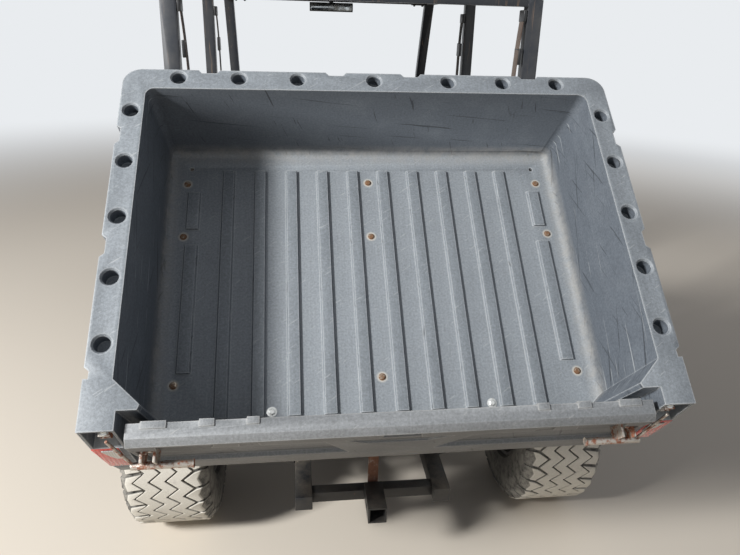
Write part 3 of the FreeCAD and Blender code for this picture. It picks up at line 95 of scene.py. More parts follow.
def add(tree, kind, inputs=None, **settings):
    """A shader node with its settings; each input is a number, a colour, a socket or the node before it."""
    made = tree.nodes.new(kind)
    for name, value in settings.items():
        setattr(made, name, value)
    for name, value in (inputs or {}).items():
        if isinstance(value, bpy.types.Node):
            value = next(socket for socket in value.outputs if socket.enabled)
        if isinstance(value, bpy.types.NodeSocket):
            tree.links.new(value, made.inputs[name])
        else:
            made.inputs[name].default_value = linear(value) if isinstance(value, str) else value
    return made


def new_material(name, **uniform):
    """An empty material and its node tree, with a principled shader that has these uniform values."""
    material = bpy.data.materials.new(name)
    material.use_nodes = True
    tree = material.node_tree
    tree.nodes.clear()
    shader = add(tree, "ShaderNodeBsdfPrincipled",
                 {key.replace("_", " "): value for key, value in uniform.items()})
    add(tree, "ShaderNodeOutputMaterial", {"Surface": shader})
    return material, tree, shader


def plugged(tree, shader, **results):
    """Links each result to the shader's socket of that name."""
    for name, result in results.items():
        socket = next(socket for socket in result.outputs if socket.enabled)
        tree.links.new(socket, shader.inputs[name.replace("_", " ")])


def seen_directly(tree):
    """1 for what the camera sees, in a mirror or through a lens too, and 0 for the light on other things."""
    sight = add(tree, "ShaderNodeLightPath")
    seen = add(tree, "ShaderNodeMath", {0: sight.outputs["Is Camera Ray"], 1: sight.outputs["Is Glossy Ray"]},
               operation="MAXIMUM")
    return add(tree, "ShaderNodeMath", {0: seen, 1: sight.outputs["Is Transmission Ray"]},
               operation="MAXIMUM")


bpy.ops.mesh.primitive_plane_add(size=FLOOR_SIZE)
studio_floor = bpy.context.object
studio_floor.name = "studio_floor"
floor_paint, tree, shader = new_material("studio_floor_paint_matt", Base_Color=FLOOR_COLOUR, Roughness=0.95,
                                         Specular_IOR_Level=0.1)
spot = add(tree, "ShaderNodeTexCoord").outputs["Object"]
far = add(tree, "ShaderNodeVectorMath", {0: spot}, operation="LENGTH")
far = add(tree, "ShaderNodeMapRange", {"Value": far, "From Min": FADE_START, "From Max": FADE_END},
          interpolation_type="SMOOTHSTEP")
far = add(tree, "ShaderNodeMath", {0: far, 1: seen_directly(tree)}, operation="MULTIPLY")
glow = add(tree, "ShaderNodeEmission", {"Color": SURROUND_COLOUR})
blend = add(tree, "ShaderNodeMixShader", {0: far, 1: shader, 2: glow})
tree.links.new(blend.outputs[0], next(n for n in tree.nodes if n.type == "OUTPUT_MATERIAL").inputs["Surface"])
studio_floor.data.materials.append(floor_paint)

world = bpy.data.worlds.new("studio_surround")
bpy.context.scene.world = world
world.use_nodes = True
sky = world.node_tree
sky.nodes.clear()
light = add(sky, "ShaderNodeBackground", {"Color": SKYLIGHT_COLOUR, "Strength": SURROUND_LIGHT})
backdrop = add(sky, "ShaderNodeBackground", {"Color": SURROUND_COLOUR, "Strength": 1.0})
choice = add(sky, "ShaderNodeMixShader", {0: seen_directly(sky), 1: light, 2: backdrop})
add(sky, "ShaderNodeOutputWorld", {"Surface": choice})

for place, aim, size, watts in ((KEY_PLACE, KEY_AIM, KEY_SIZE, KEY_WATTS),
                                (FILL_PLACE, FILL_AIM, FILL_SIZE, FILL_WATTS)):
    bpy.ops.object.light_add(type="AREA", location=place)
    lamp = bpy.context.object
    lamp.data.size = size
    lamp.data.energy = watts
    lamp.rotation_euler = (aim - place).to_track_quat("-Z", "Y").to_euler()


# The cargo bed is one moulding of black polyethylene, bleached to grey by the sun. Its walls, ribbed floor
# and rolled rim come from one mould, so every edge is softly rounded. Years of loads have left lengthwise
# scratches, pale rubbed edges, dust along the foot of the walls and a pale ring round each floor screw.
# The walls are also painted darker as shade, and the rubbed edges brighter as a painted highlight.
BED_HINGE = Vector((0.0, -1.747, 0.752))
BED_TILT = math.radians(42.7)
HINGE_ALONG = 0.154
HINGE_UNDER = 0.090
BED_PLACE = (Matrix.Translation(BED_HINGE) @ Matrix.Rotation(BED_TILT, 4, "X")
             @ Matrix.Translation((0, -HINGE_ALONG, HINGE_UNDER)))
WALL_FOOT_U = 0.670
FRONT_FOOT_V = 1.003
RIB_TOP_W = (0.005, 0.008)
FOOT_DUST_HIGH = 0.055
SCREW_HALO = (0.013, 0.019)
SCREW_HALO_COLOUR = "#c6c2b8"
FLOOR_SCREWS = ((-0.613, 0.876), (-0.615, 0.674), (-0.614, 0.183), (0.0, 0.880), (-0.003, 0.667),
                (-0.002, 0.185), (0.609, 0.876), (0.613, 0.670), (0.614, 0.180))
FLOOR_BOLTS = ((-0.331, 0.094), (0.325, 0.091))
MERGE = 0.00002
FLAT = math.radians(0.5)

# Scratches: the way the scratched face looks, their turn on it in radians, the size of one in metres, the
# noise above which they show, how strong they are, and their colour, or None for the rubbed one.
SCRATCHES = (("X", 0.30, (0.04, 0.35, 0.010), 0.640, 0.70, "#24272b"),
             ("X", -0.45, (0.04, 0.22, 0.008), 0.650, 0.60, "#24272b"),
             ("X", 0.10, (0.04, 0.28, 0.009), 0.660, 0.40, None),
             ("Y", 0.12, (0.40, 0.04, 0.012), 0.640, 0.60, "#1b1d21"),
             ("Y", 1.25, (0.16, 0.04, 0.009), 0.655, 0.70, "#1b1d21"),
             ("Z", 0.60, (0.06, 0.006, 0.03), 0.655, 0.30, None),
             ("Z", -0.90, (0.04, 0.005, 0.03), 0.680, 0.20, "#5a5e62"))

record = frame["record"]
body_of_node = {node: body for body, members in record["behaviour"]["bodies"].items() for node in members}
slot_of_node = {row["node"]: row["material_slot"] for row in record["subparts"]}


def alone(piece):
    """Only this object is selected and active."""
    bpy.ops.object.select_all(action="DESELECT")
    piece.hide_set(False)
    piece.select_set(True)
    bpy.context.view_layer.objects.active = piece


def eased(piece, edge, sharp=28, segments=2, smooth=35):
    """A piece with its sharp edges rounded by a width, and shaded smooth below an angle."""
    alone(piece)
    if edge:
        rounding = piece.modifiers.new("rounded_edges", "BEVEL")
        rounding.width = edge
        rounding.segments = segments
        rounding.limit_method = "ANGLE"
        rounding.angle_limit = math.radians(sharp)
        bpy.ops.object.modifier_apply(modifier=rounding.name)
    bpy.ops.object.shade_smooth_by_angle(angle=math.radians(smooth))
    return piece


def dressed(node, material, edge=0.002, **angles):
    """A copy of a CAD node with the rounded edges of its mould or press, which stands for the node."""
    piece = bpy.data.objects.new(node + "_finished", frame["nodes"][node].data.copy())
    bpy.context.scene.collection.objects.link(piece)
    alone(piece)
    bpy.ops.object.mode_set(mode="EDIT")
    bpy.ops.mesh.select_all(action="SELECT")
    bpy.ops.mesh.remove_doubles(threshold=MERGE)
    bpy.ops.mesh.dissolve_limited(angle_limit=FLAT)
    bpy.ops.object.mode_set(mode="OBJECT")
    eased(piece, edge, **angles)
    return fitted(piece, piece.name, material, body_of_node[node], slot_of_node[node], node)


def fitted(piece, name, material, body, slot, *nodes):
    """A finished piece with its place in its mesh, its material, its body and the nodes it stands for."""
    alone(piece)
    bpy.ops.object.transform_apply(location=True, rotation=True, scale=True)
    piece.name = name
    piece.data.materials.clear()
    piece.data.materials.append(material)
    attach(piece, body)
    if nodes:
        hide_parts(*nodes)
    return piece


def rubbed_edges(tree, radius, amount):
    """How far a mould's edge has been rubbed pale: amount on a sharp edge, 0 on a flat face."""
    flat = add(tree, "ShaderNodeNewGeometry").outputs["Normal"]
    soft = add(tree, "ShaderNodeBevel", {"Radius": radius}, samples=4)
    bend = add(tree, "ShaderNodeVectorMath", {0: soft, 1: flat}, operation="DOT_PRODUCT")
    return add(tree, "ShaderNodeMapRange", {"Value": bend.outputs["Value"], "From Min": 0.992,
               "From Max": 0.90, "To Max": amount})


def bed_finish(name, floor_colour, painted_shade_wall_colour, rubbed_and_highlight_colour, dust_colour, grain_mm=2.2):
    """Weathered polyethylene that follows the bed: leather grain, streaks, scuffs, rubbed edges, dust,
    painted shade on the walls and a painted highlight on the edges.
    """
    material, tree, shader = new_material(name, IOR=1.51)
    place = add(tree, "ShaderNodeTexCoord")
    turn = Matrix.Rotation(-BED_TILT, 3, "X")
    shift = Vector((0, HINGE_ALONG, -HINGE_UNDER)) - turn @ BED_HINGE
    spot = add(tree, "ShaderNodeMapping", {"Vector": place.outputs["Object"], "Location": shift,
               "Rotation": (-BED_TILT, 0, 0)})
    facing = add(tree, "ShaderNodeMapping", {"Vector": place.outputs["Normal"],
                 "Rotation": (-BED_TILT, 0, 0)}, vector_type="NORMAL")
    facing = add(tree, "ShaderNodeSeparateXYZ", {"Vector": facing})
    where = add(tree, "ShaderNodeSeparateXYZ", {"Vector": spot})
    upward = add(tree, "ShaderNodeMapRange", {"Value": facing.outputs["Z"], "From Min": 0.25,
                 "From Max": 0.95})

    # Lighter on what faces the sky and darker on the walls, in soft patches about a hand wide: partly sun
    # bleaching, partly painted shade on the walls.
    patches = add(tree, "ShaderNodeTexNoise", {"Vector": spot, "Scale": 7.0, "Detail": 6.0, "Roughness": 0.6})
    patches = add(tree, "ShaderNodeMapRange", {"Value": patches, "From Min": 0.3, "From Max": 0.7,
                  "To Min": -0.16, "To Max": 0.16})
    bleach_and_painted_shade = add(tree, "ShaderNodeMath", {0: upward, 1: patches}, operation="ADD", use_clamp=True)
    colour = add(tree, "ShaderNodeMix", {0: bleach_and_painted_shade, 6: painted_shade_wall_colour, 7: floor_colour}, data_type="RGBA")

    # Fine speckle of the worn grain, and long streaks where loads slid along the bed.
    speckle = add(tree, "ShaderNodeTexNoise", {"Vector": spot, "Scale": 1000 / grain_mm / 3, "Detail": 5.0,
                  "Roughness": 0.8})
    speckle = add(tree, "ShaderNodeMapRange", {"Value": speckle, "From Min": 0.36, "From Max": 0.66,
                  "To Min": 0.75, "To Max": 1.22})
    streaks = add(tree, "ShaderNodeMapping", {"Vector": spot, "Scale": (150.0, 5.0, 60.0)})
    streaks = add(tree, "ShaderNodeTexNoise", {"Vector": streaks, "Scale": 1.0, "Detail": 4.0,
                  "Roughness": 0.65})
    streaks = add(tree, "ShaderNodeMapRange", {"Value": streaks, "From Min": 0.34, "From Max": 0.68,
                  "To Min": 0.94, "To Max": 1.05})
    shade = add(tree, "ShaderNodeMath", {0: speckle, 1: streaks}, operation="MULTIPLY")

    # The tops of the ribs are worn a little darker than the channels between them.
    raised = add(tree, "ShaderNodeMapRange", {"Value": where.outputs["Z"], "From Min": RIB_TOP_W[0],
                 "From Max": RIB_TOP_W[1]})
    raised = add(tree, "ShaderNodeMath", {0: raised, 1: upward}, operation="MULTIPLY")
    raised = add(tree, "ShaderNodeMapRange", {"Value": raised, "To Min": 1.0, "To Max": 0.87})
    shade = add(tree, "ShaderNodeMath", {0: shade, 1: raised}, operation="MULTIPLY")
    shade = add(tree, "ShaderNodeCombineColor", {0: shade, 1: shade, 2: shade})
    colour = add(tree, "ShaderNodeMix", {0: 1.0, 6: colour, 7: shade}, data_type="RGBA",
                 blend_type="MULTIPLY")

    # Long scratches run along and across the walls; short pale ones mark the rim and the floor.
    for axis, turn, size, low, amount, tint in SCRATCHES:
        lines = add(tree, "ShaderNodeMapping", {"Vector": spot, "Scale": size,
                    "Rotation": [turn * (axis == way) for way in "XYZ"]}, vector_type="TEXTURE")
        lines = add(tree, "ShaderNodeTexNoise", {"Vector": lines, "Scale": 1.0, "Detail": 3.0,
                    "Distortion": 0.2})
        lines = add(tree, "ShaderNodeMapRange", {"Value": lines, "From Min": low, "From Max": low + 0.03,
                    "To Max": amount})
        turned_to = add(tree, "ShaderNodeMath", {0: facing.outputs[axis]}, operation="ABSOLUTE")
        turned_to = add(tree, "ShaderNodeMapRange", {"Value": turned_to, "From Min": 0.6, "From Max": 0.8})
        lines = add(tree, "ShaderNodeMath", {0: lines, 1: turned_to}, operation="MULTIPLY")
        colour = add(tree, "ShaderNodeMix", {0: lines, 6: colour, 7: tint or rubbed_and_highlight_colour}, data_type="RGBA")
    # Pale rubbed edges: partly wear, partly a painted highlight along every edge.
    rubbed = rubbed_edges(tree, 0.006, 0.75)
    colour = add(tree, "ShaderNodeMix", {0: rubbed, 6: colour, 7: rubbed_and_highlight_colour}, data_type="RGBA")

    # Dust lies in a band along the foot of the walls and in the channels, with a pale ring at each screw.
    across = add(tree, "ShaderNodeMath", {0: where.outputs["X"]}, operation="ABSOLUTE")
    side = add(tree, "ShaderNodeMapRange", {"Value": across, "From Min": WALL_FOOT_U - 0.045,
               "From Max": WALL_FOOT_U - 0.008})
    end = add(tree, "ShaderNodeMapRange", {"Value": where.outputs["Y"], "From Min": FRONT_FOOT_V - 0.06,
              "From Max": FRONT_FOOT_V - 0.01})
    foot = add(tree, "ShaderNodeMath", {0: side, 1: end}, operation="MAXIMUM")
    low = add(tree, "ShaderNodeMapRange", {"Value": where.outputs["Z"], "From Min": FOOT_DUST_HIGH,
              "From Max": 0.012})
    foot = add(tree, "ShaderNodeMath", {0: foot, 1: low}, operation="MULTIPLY")
    channel = add(tree, "ShaderNodeMapRange", {"Value": where.outputs["Z"], "From Min": 0.006,
                  "From Max": 0.001, "To Max": 0.12})
    dust = add(tree, "ShaderNodeMath", {0: foot, 1: channel}, operation="MAXIMUM")
    drift = add(tree, "ShaderNodeTexNoise", {"Vector": spot, "Scale": 26.0, "Detail": 9.0, "Roughness": 0.75})
    drift = add(tree, "ShaderNodeMapRange", {"Value": drift, "From Min": 0.36, "From Max": 0.64,
                "To Min": 0.2})
    dust = add(tree, "ShaderNodeMath", {0: dust, 1: drift}, operation="MULTIPLY", use_clamp=True)
    dust = add(tree, "ShaderNodeMath", {0: dust, 1: 0.75}, operation="MULTIPLY")
    colour = add(tree, "ShaderNodeMix", {0: dust, 6: colour, 7: dust_colour}, data_type="RGBA")
    halo = 0.0
    for u, v in FLOOR_SCREWS:
        near = add(tree, "ShaderNodeVectorMath", {0: spot, 1: (u, v, 0.002)}, operation="DISTANCE")
        near = add(tree, "ShaderNodeMapRange", {"Value": near.outputs["Value"], "From Min": SCREW_HALO[1],
                   "From Max": SCREW_HALO[0], "To Max": 0.85})
        halo = add(tree, "ShaderNodeMath", {0: halo, 1: near}, operation="MAXIMUM")
    colour = add(tree, "ShaderNodeMix", {0: halo, 6: colour, 7: SCREW_HALO_COLOUR}, data_type="RGBA")
    rough = add(tree, "ShaderNodeMapRange", {"Value": dust, "To Min": 0.56, "To Max": 0.9})
    grain = add(tree, "ShaderNodeTexNoise", {"Vector": spot, "Scale": 1000 / grain_mm / 2, "Detail": 3.0})
    bump = add(tree, "ShaderNodeBump", {"Height": grain, "Strength": 0.5, "Distance": grain_mm / 3000})
    plugged(tree, shader, Base_Color=colour, Roughness=rough, Normal=bump)
    return material


# The bed's wall colour holds painted shade, and its pale edge colour a painted highlight.
bed_polyethylene = bed_finish("bed_polyethylene_moulded", "#8b9196", "#5b6168", "#bfc2c2", "#9a9893")
dressed("bed_box", bed_polyethylene, 0.003)


# Pan head screws hold the floor to the cross bars, and two brighter bolts hold it at the rear.
# They are zinc plated steel, and the screws have rusted brown.
def joined(*pieces):
    """Several modelled pieces as one."""
    bpy.ops.object.select_all(action="DESELECT")
    for piece in pieces:
        piece.select_set(True)
    bpy.context.view_layer.objects.active = pieces[0]
    if len(pieces) > 1:
        bpy.ops.object.join()
    return bpy.context.object


def again(piece, change):
    """A copy with its own mesh, moved or turned by a matrix; a mirrored copy keeps its faces outward."""
    copy = bpy.data.objects.new(piece.name, piece.data.copy())
    bpy.context.scene.collection.objects.link(copy)
    copy.data.transform(change @ piece.matrix_basis)
    if change.determinant() < 0:
        copy.data.flip_normals()
    return copy


def spread(pattern, places):
    """Copies of a modelled pattern at each place, as one piece; the pattern itself goes."""
    copies = [again(pattern, place) for place in places]
    bpy.data.objects.remove(pattern)
    return joined(*copies)


def pressed(piece, way, *steps):
    """A piece whose face that looks this way is drawn in by each step's margin, then moved by its depth."""
    alone(piece)
    bpy.ops.object.mode_set(mode="EDIT")
    mesh = bmesh.from_edit_mesh(piece.data)
    for face in mesh.faces:
        face.select = face.normal.dot(Vector(way)) > 0.9
    bmesh.update_edit_mesh(piece.data)
    for margin, depth in steps:
        bpy.ops.mesh.inset(thickness=margin)
        bpy.ops.transform.translate(value=depth * Vector(way))
    bpy.ops.object.mode_set(mode="OBJECT")
    return piece


def knob(radius, height, sides, crown=0.3, foot=0.0):
    """A screw or bolt head that stands on the origin, crowned, on a washer where foot is its extra radius."""
    bpy.ops.object.select_all(action="DESELECT")
    bpy.ops.mesh.primitive_cylinder_add(vertices=sides, radius=radius, depth=height,
                                        location=(0, 0, height / 2))
    head = bpy.context.object
    bpy.ops.object.transform_apply(location=True)
    pieces = [pressed(head, (0, 0, 1), (radius * 0.25, height * crown))]
    if foot:
        bpy.ops.mesh.primitive_cylinder_add(vertices=24, radius=radius + foot, depth=height * 0.3,
                                            location=(0, 0, height * 0.15))
        pieces.append(eased(bpy.context.object, height * 0.1))
    return joined(*pieces)


def rusted_steel(name, bare, rust, dark_rust, share=0.5, patch_mm=18, metallic=0.7):
    """Steel that has lost its coat: grey where it is rubbed, orange and dark brown rust elsewhere."""
    material, tree, shader = new_material(name)
    spot = add(tree, "ShaderNodeTexCoord").outputs["Object"]
    patches = add(tree, "ShaderNodeTexNoise", {"Vector": spot, "Scale": 1000 / patch_mm, "Detail": 8.0,
                  "Roughness": 0.7})
    cover = add(tree, "ShaderNodeMapRange", {"Value": patches, "From Min": 0.62 - share * 0.3,
                "From Max": 0.72 - share * 0.3})
    depth = add(tree, "ShaderNodeTexNoise", {"Vector": spot, "Scale": 3000 / patch_mm, "Detail": 5.0})
    brown = add(tree, "ShaderNodeMix", {0: depth, 6: rust, 7: dark_rust}, data_type="RGBA")
    colour = add(tree, "ShaderNodeMix", {0: cover, 6: bare, 7: brown}, data_type="RGBA")
    metal = add(tree, "ShaderNodeMapRange", {"Value": cover, "To Min": metallic, "To Max": 0.0})
    rough = add(tree, "ShaderNodeMapRange", {"Value": cover, "To Min": 0.38, "To Max": 0.9})
    bump = add(tree, "ShaderNodeBump", {"Height": depth, "Strength": 0.5, "Distance": 0.0006})
    plugged(tree, shader, Base_Color=colour, Metallic=metal, Roughness=rough, Normal=bump)
    return material


screw_steel = rusted_steel("screw_steel_rusted", "#9c9284", "#8f6a4c", "#5f4633", share=0.7, patch_mm=12)
bolt_steel = rusted_steel("bolt_steel_zinc_plated", "#d8d9d6", "#a89c88", "#7d7265", share=0.15, patch_mm=9)
screws = spread(knob(0.0085, 0.0035, 20, foot=0.003),
                [BED_PLACE @ Matrix.Translation((u, v, 0)) for u, v in FLOOR_SCREWS])
fitted(screws, "bed_floor_screws", screw_steel, "bed", "bare_steel")
bolts = spread(knob(0.010, 0.005, 6, foot=0.005),
               [BED_PLACE @ Matrix.Translation((u, v, 0)) for u, v in FLOOR_BOLTS])
fitted(bolts, "bed_floor_bolts", bolt_steel, "bed", "zinc_steel")


# The tailgate is moulded of the same polyethylene, hinged at its foot between the corner posts.
# Mud thrown up by the tyres has dried brown in the recessed panel of its outer face.
# The gate's wall colour holds painted shade, and its pale edge colour a painted highlight.
gate_polyethylene = bed_finish("gate_polyethylene_moulded", "#8d9092", "#5a5b5c", "#adadaa", "#7d7365")
dressed("tailgate", gate_polyethylene, 0.003)


# Each end of the tailgate has a latch: a zinc plated bracket on its face, a hollow handle tube under it
# and a rod to the clevis in the corner post. The zinc has worn off and the steel has rusted pinkish brown.
LATCH_TUBE_V = -0.060
LATCH_TUBE_W = 0.160
LATCH_TUBE_ENDS_U = (0.519, 0.668)
LATCH_PLATE_U = (0.601, 0.641)
LATCH_FACE_V = -0.028
STRIKER_U = 0.702

latch_steel = rusted_steel("latch_steel_rusted", "#b5afa6", "#9a6248", "#6f4836", share=0.5, patch_mm=16)
dressed("tailgate_latches", latch_steel, 0.0012, smooth=42)
dressed("bed_corner_brackets", latch_steel, 0.001)
nut_places, cap_places, clevis_places = [], [], []
for side in (-1, 1):
    for u, w in ((LATCH_PLATE_U[0] + 0.011, 0.217), (LATCH_PLATE_U[1] - 0.010, 0.190)):
        nut_places.append(BED_PLACE @ Matrix.Translation((side * u, LATCH_FACE_V - 0.004, w))
                          @ Matrix.Rotation(math.pi / 2, 4, "X"))
    cap_place = (side * LATCH_TUBE_ENDS_U[0], LATCH_TUBE_V, LATCH_TUBE_W)
    cap_places.append(BED_PLACE @ Matrix.Translation(cap_place)
                      @ Matrix.Rotation(-side * math.pi / 2, 4, "Y"))
    clevis_places.append(BED_PLACE @ Matrix.Translation((side * STRIKER_U, 0.004, 0.288)))
fixings = joined(spread(knob(0.006, 0.005, 6, foot=0.003), nut_places),
                 spread(knob(0.0115, 0.004, 24, crown=-0.4), cap_places))
fitted(fixings, "latch_fixings", latch_steel, "tailgate", "zinc_steel")
fitted(spread(knob(0.0075, 0.007, 6, foot=0.003), clevis_places), "clevis_nuts", bolt_steel, "bed",
       "zinc_steel")


# Tail lamps: a fluted red polycarbonate lens with a grey prismatic reflector in its upper inner part,
# let into the outer corner of each post. Both are scratched and hazed with dust.
REFLECTOR_LOW_U = 0.692
REFLECTOR_WIDE = 0.040
REFLECTOR_LOW_W = 0.148
REFLECTOR_TALL = 0.050
REFLECTOR_THICK = 0.003
WAVE_BAND = 2 * math.pi / 20


def moulded_grid(rows):
    """A grid of faces whose points are moved to the given places, row by row."""
    bpy.ops.object.select_all(action="DESELECT")
    bpy.ops.mesh.primitive_grid_add(x_subdivisions=len(rows[0]) - 1, y_subdivisions=len(rows) - 1, size=1)
    piece = bpy.context.object
    for vertex, place in zip(piece.data.vertices, [point for row in rows for point in row]):
        vertex.co = place
    return piece


def thickened(piece, thickness):
    """An open surface, its faces turned one way, made a sheet of this thickness about it."""
    alone(piece)
    bpy.ops.object.mode_set(mode="EDIT")
    bpy.ops.mesh.select_all(action="SELECT")
    bpy.ops.mesh.normals_make_consistent(inside=False)
    bpy.ops.object.mode_set(mode="OBJECT")
    wall = piece.modifiers.new("wall", "SOLIDIFY")
    wall.thickness = thickness
    wall.offset = 0
    bpy.ops.object.modifier_apply(modifier=wall.name)
    return piece


def reflector_point(side, across, along):
    """A point of the reflector in the bed's own places, from its shares across and along the patch."""
    u = REFLECTOR_LOW_U + REFLECTOR_WIDE * across * (0.35 + 0.65 * along)
    w = REFLECTOR_LOW_W + REFLECTOR_TALL * along
    post_face_v = -0.0245 - 0.0210 * (0.203 - w) / 0.115
    return side * u, post_face_v - 0.0012 * math.sin(math.pi * along) - REFLECTOR_THICK / 2, w


def polycarbonate(name, colour, flute_mm, haze="#a99a8c", hazy=0.35, roughness=0.2):
    """Injection moulded polycarbonate: glossy outside, fluted inside, hazed with fine dust."""
    material, tree, shader = new_material(name, Roughness=roughness, IOR=1.58, Coat_Weight=0.5,
                                          Coat_Roughness=0.08)
    spot = add(tree, "ShaderNodeTexCoord").outputs["Object"]
    flutes = add(tree, "ShaderNodeTexWave", {"Vector": spot, "Scale": 1000 * WAVE_BAND / flute_mm},
                 bands_direction="X")
    cloud = add(tree, "ShaderNodeTexNoise", {"Vector": spot, "Scale": 60.0, "Detail": 6.0})
    cloud = add(tree, "ShaderNodeMapRange", {"Value": cloud, "From Min": 0.4, "From Max": 0.75,
                "To Max": hazy})
    colour = add(tree, "ShaderNodeMix", {0: cloud, 6: colour, 7: haze}, data_type="RGBA")
    bump = add(tree, "ShaderNodeBump", {"Height": flutes.outputs["Fac"], "Strength": 0.5,
               "Distance": 0.0012})
    plugged(tree, shader, Base_Color=colour, Normal=bump)
    return material


red_polycarbonate = polycarbonate("tail_lamp_polycarbonate_red", "#b2281e", 9.9, hazy=0.22)
dressed("tail_lamps", red_polycarbonate, 0.004)
reflector = polycarbonate("tail_reflector_polycarbonate_grey", "#9a9b98", 5.94)
patches = []
for side in (-1, 1):
    patch = thickened(moulded_grid([[reflector_point(side, across / 6, along / 6) for across in range(7)]
                                    for along in range(7)]), REFLECTOR_THICK)
    patch.data.transform(BED_PLACE)
    patches.append(patch)
fitted(joined(*patches), "tail_reflectors", reflector, "bed", "clear_lens")


# Frame, bed rails, cage and bumper are welded steel tube under black powder coat: an orange-peel skin,
# dust on what faces up, and a few chips down to rust.
CHIP_RUST = "#6b4031"


def powder_coat(name, colour, dust, dusty=0.35, roughness=0.42, chips=0.25, scuff=CHIP_RUST, scuffs=0.0):
    """Powder coated steel: even orange peel, dust on upward faces, small rusty chips, lengthwise scuffs."""
    material, tree, shader = new_material(name, IOR=1.5)
    place = add(tree, "ShaderNodeTexCoord")
    spot = place.outputs["Object"]
    facing = add(tree, "ShaderNodeSeparateXYZ", {"Vector": place.outputs["Normal"]})
    upward = add(tree, "ShaderNodeMapRange", {"Value": facing.outputs["Z"], "From Min": -0.2,
                 "From Max": 1.0, "To Min": 0.12})
    drift = add(tree, "ShaderNodeTexNoise", {"Vector": spot, "Scale": 11.0, "Detail": 9.0, "Roughness": 0.72})
    drift = add(tree, "ShaderNodeMapRange", {"Value": drift, "From Min": 0.35, "From Max": 0.72,
                "To Max": dusty * 1.6})
    settled = add(tree, "ShaderNodeMath", {0: upward, 1: drift}, operation="MULTIPLY", use_clamp=True)
    colour = add(tree, "ShaderNodeMix", {0: settled, 6: colour, 7: dust}, data_type="RGBA")
    pits = add(tree, "ShaderNodeTexNoise", {"Vector": spot, "Scale": 34.0, "Detail": 6.0, "Roughness": 0.8})
    pits = add(tree, "ShaderNodeMapRange", {"Value": pits, "From Min": 0.72 - chips * 0.08,
               "From Max": 0.76 - chips * 0.08})
    colour = add(tree, "ShaderNodeMix", {0: pits, 6: colour, 7: CHIP_RUST}, data_type="RGBA")
    if scuffs:
        long_way = add(tree, "ShaderNodeMapping", {"Vector": spot, "Scale": (60.0, 60.0, 2.2)})
        rubbed = add(tree, "ShaderNodeTexNoise", {"Vector": long_way, "Scale": 1.0, "Detail": 5.0,
                     "Roughness": 0.65})
        rubbed = add(tree, "ShaderNodeMapRange", {"Value": rubbed, "From Min": 0.6, "From Max": 0.68,
                     "To Max": scuffs})
        colour = add(tree, "ShaderNodeMix", {0: rubbed, 6: colour, 7: scuff}, data_type="RGBA")
    rough = add(tree, "ShaderNodeMapRange", {"Value": settled, "To Min": roughness, "To Max": 0.9})
    peel = add(tree, "ShaderNodeTexNoise", {"Vector": spot, "Scale": 420.0, "Detail": 1.0})
    bump = add(tree, "ShaderNodeBump", {"Height": peel, "Strength": 0.18, "Distance": 0.0004})
    plugged(tree, shader, Base_Color=colour, Roughness=rough, Normal=bump)
    return material


frame_coat = powder_coat("frame_steel_powder_coated", "#1c1e21", "#7f7566", dusty=0.4)
cage_coat = powder_coat("cage_steel_powder_coated", "#2a2e35", "#8f8a80", dusty=0.3, roughness=0.34,
                        scuff="#8a7462", scuffs=0.7)
# A darker, less dusty copy of the frame coat: painted shade for the cross members and hitch under the bed.
painted_shade_coat = powder_coat("hitch_steel_coat_painted_shade", "#131416", "#5f574c", dusty=0.3)
for node in ("frame_rails", "bed_hinges", "bed_rails", "bed_cross_bars", "strut_barrel"):
    dressed(node, frame_coat, 0.0015)
for node in ("frame_cross_members", "hitch_receiver"):
    dressed(node, painted_shade_coat, 0.002)
for node in ("cage_sides", "cage_cross_bars"):
    dressed(node, cage_coat, 0.005)


# Clamps join the roof rails to the cross bars: pressed saddle plates under the rail with two bolts each.
CLAMP_X = 0.596
CLAMP_Z = 1.971
CLAMP_PLACES_Y = (0.045, 1.095)
CLAMP_SIZE = (0.09, 0.062, 0.004)
CLAMP_BOLT_REACH = 0.028


def box(size, middle=(0, 0, 0)):
    """A new block of this size, with its place in its mesh."""
    bpy.ops.object.select_all(action="DESELECT")
    bpy.ops.mesh.primitive_cube_add(size=1, location=middle, scale=size)
    bpy.ops.object.transform_apply(location=True, rotation=False, scale=True)
    return bpy.context.object


plates, bolt_places = [], []
for y in CLAMP_PLACES_Y:
    for side in (-1, 1):
        plates.append(eased(box(CLAMP_SIZE, (side * CLAMP_X, y, CLAMP_Z)), 0.0015))
        bolt_places += [Matrix.Translation((side * (CLAMP_X + reach), y, CLAMP_Z - CLAMP_SIZE[2] / 2))
                        @ Matrix.Rotation(math.pi, 4, "X") for reach in (-CLAMP_BOLT_REACH, CLAMP_BOLT_REACH)]
clamps = joined(*plates, spread(knob(0.007, 0.006, 6, foot=0.003), bolt_places))
fitted(clamps, "cage_clamps", frame_coat, "chassis", "frame_paint")


# Tyres: 26 inch rubber with three zigzag ribs between rows of shoulder lugs. The rear pair is wider.
# Driving on sand has coated the tread off-white, while the grooves and sidewalls stay dark.
TYRE_RADIUS = 0.330
TREAD_PITCHES = 30
TREAD_DEPTH = 0.009
RIB_PITCH = 0.055
GROOVE = 0.0085
ZIGZAG = 0.020
TREAD_DRAWN_WIDE = 0.300
FRONT_AXLE_Y = 1.690
REAR_AXLE_Y = -1.310
AXLES = (("front", FRONT_AXLE_Y, 0.240), ("rear", REAR_AXLE_Y, 0.300))
AXLE_Z = TYRE_RADIUS
HALF_TRACK = 0.720
BEAD_SHARE = 0.42


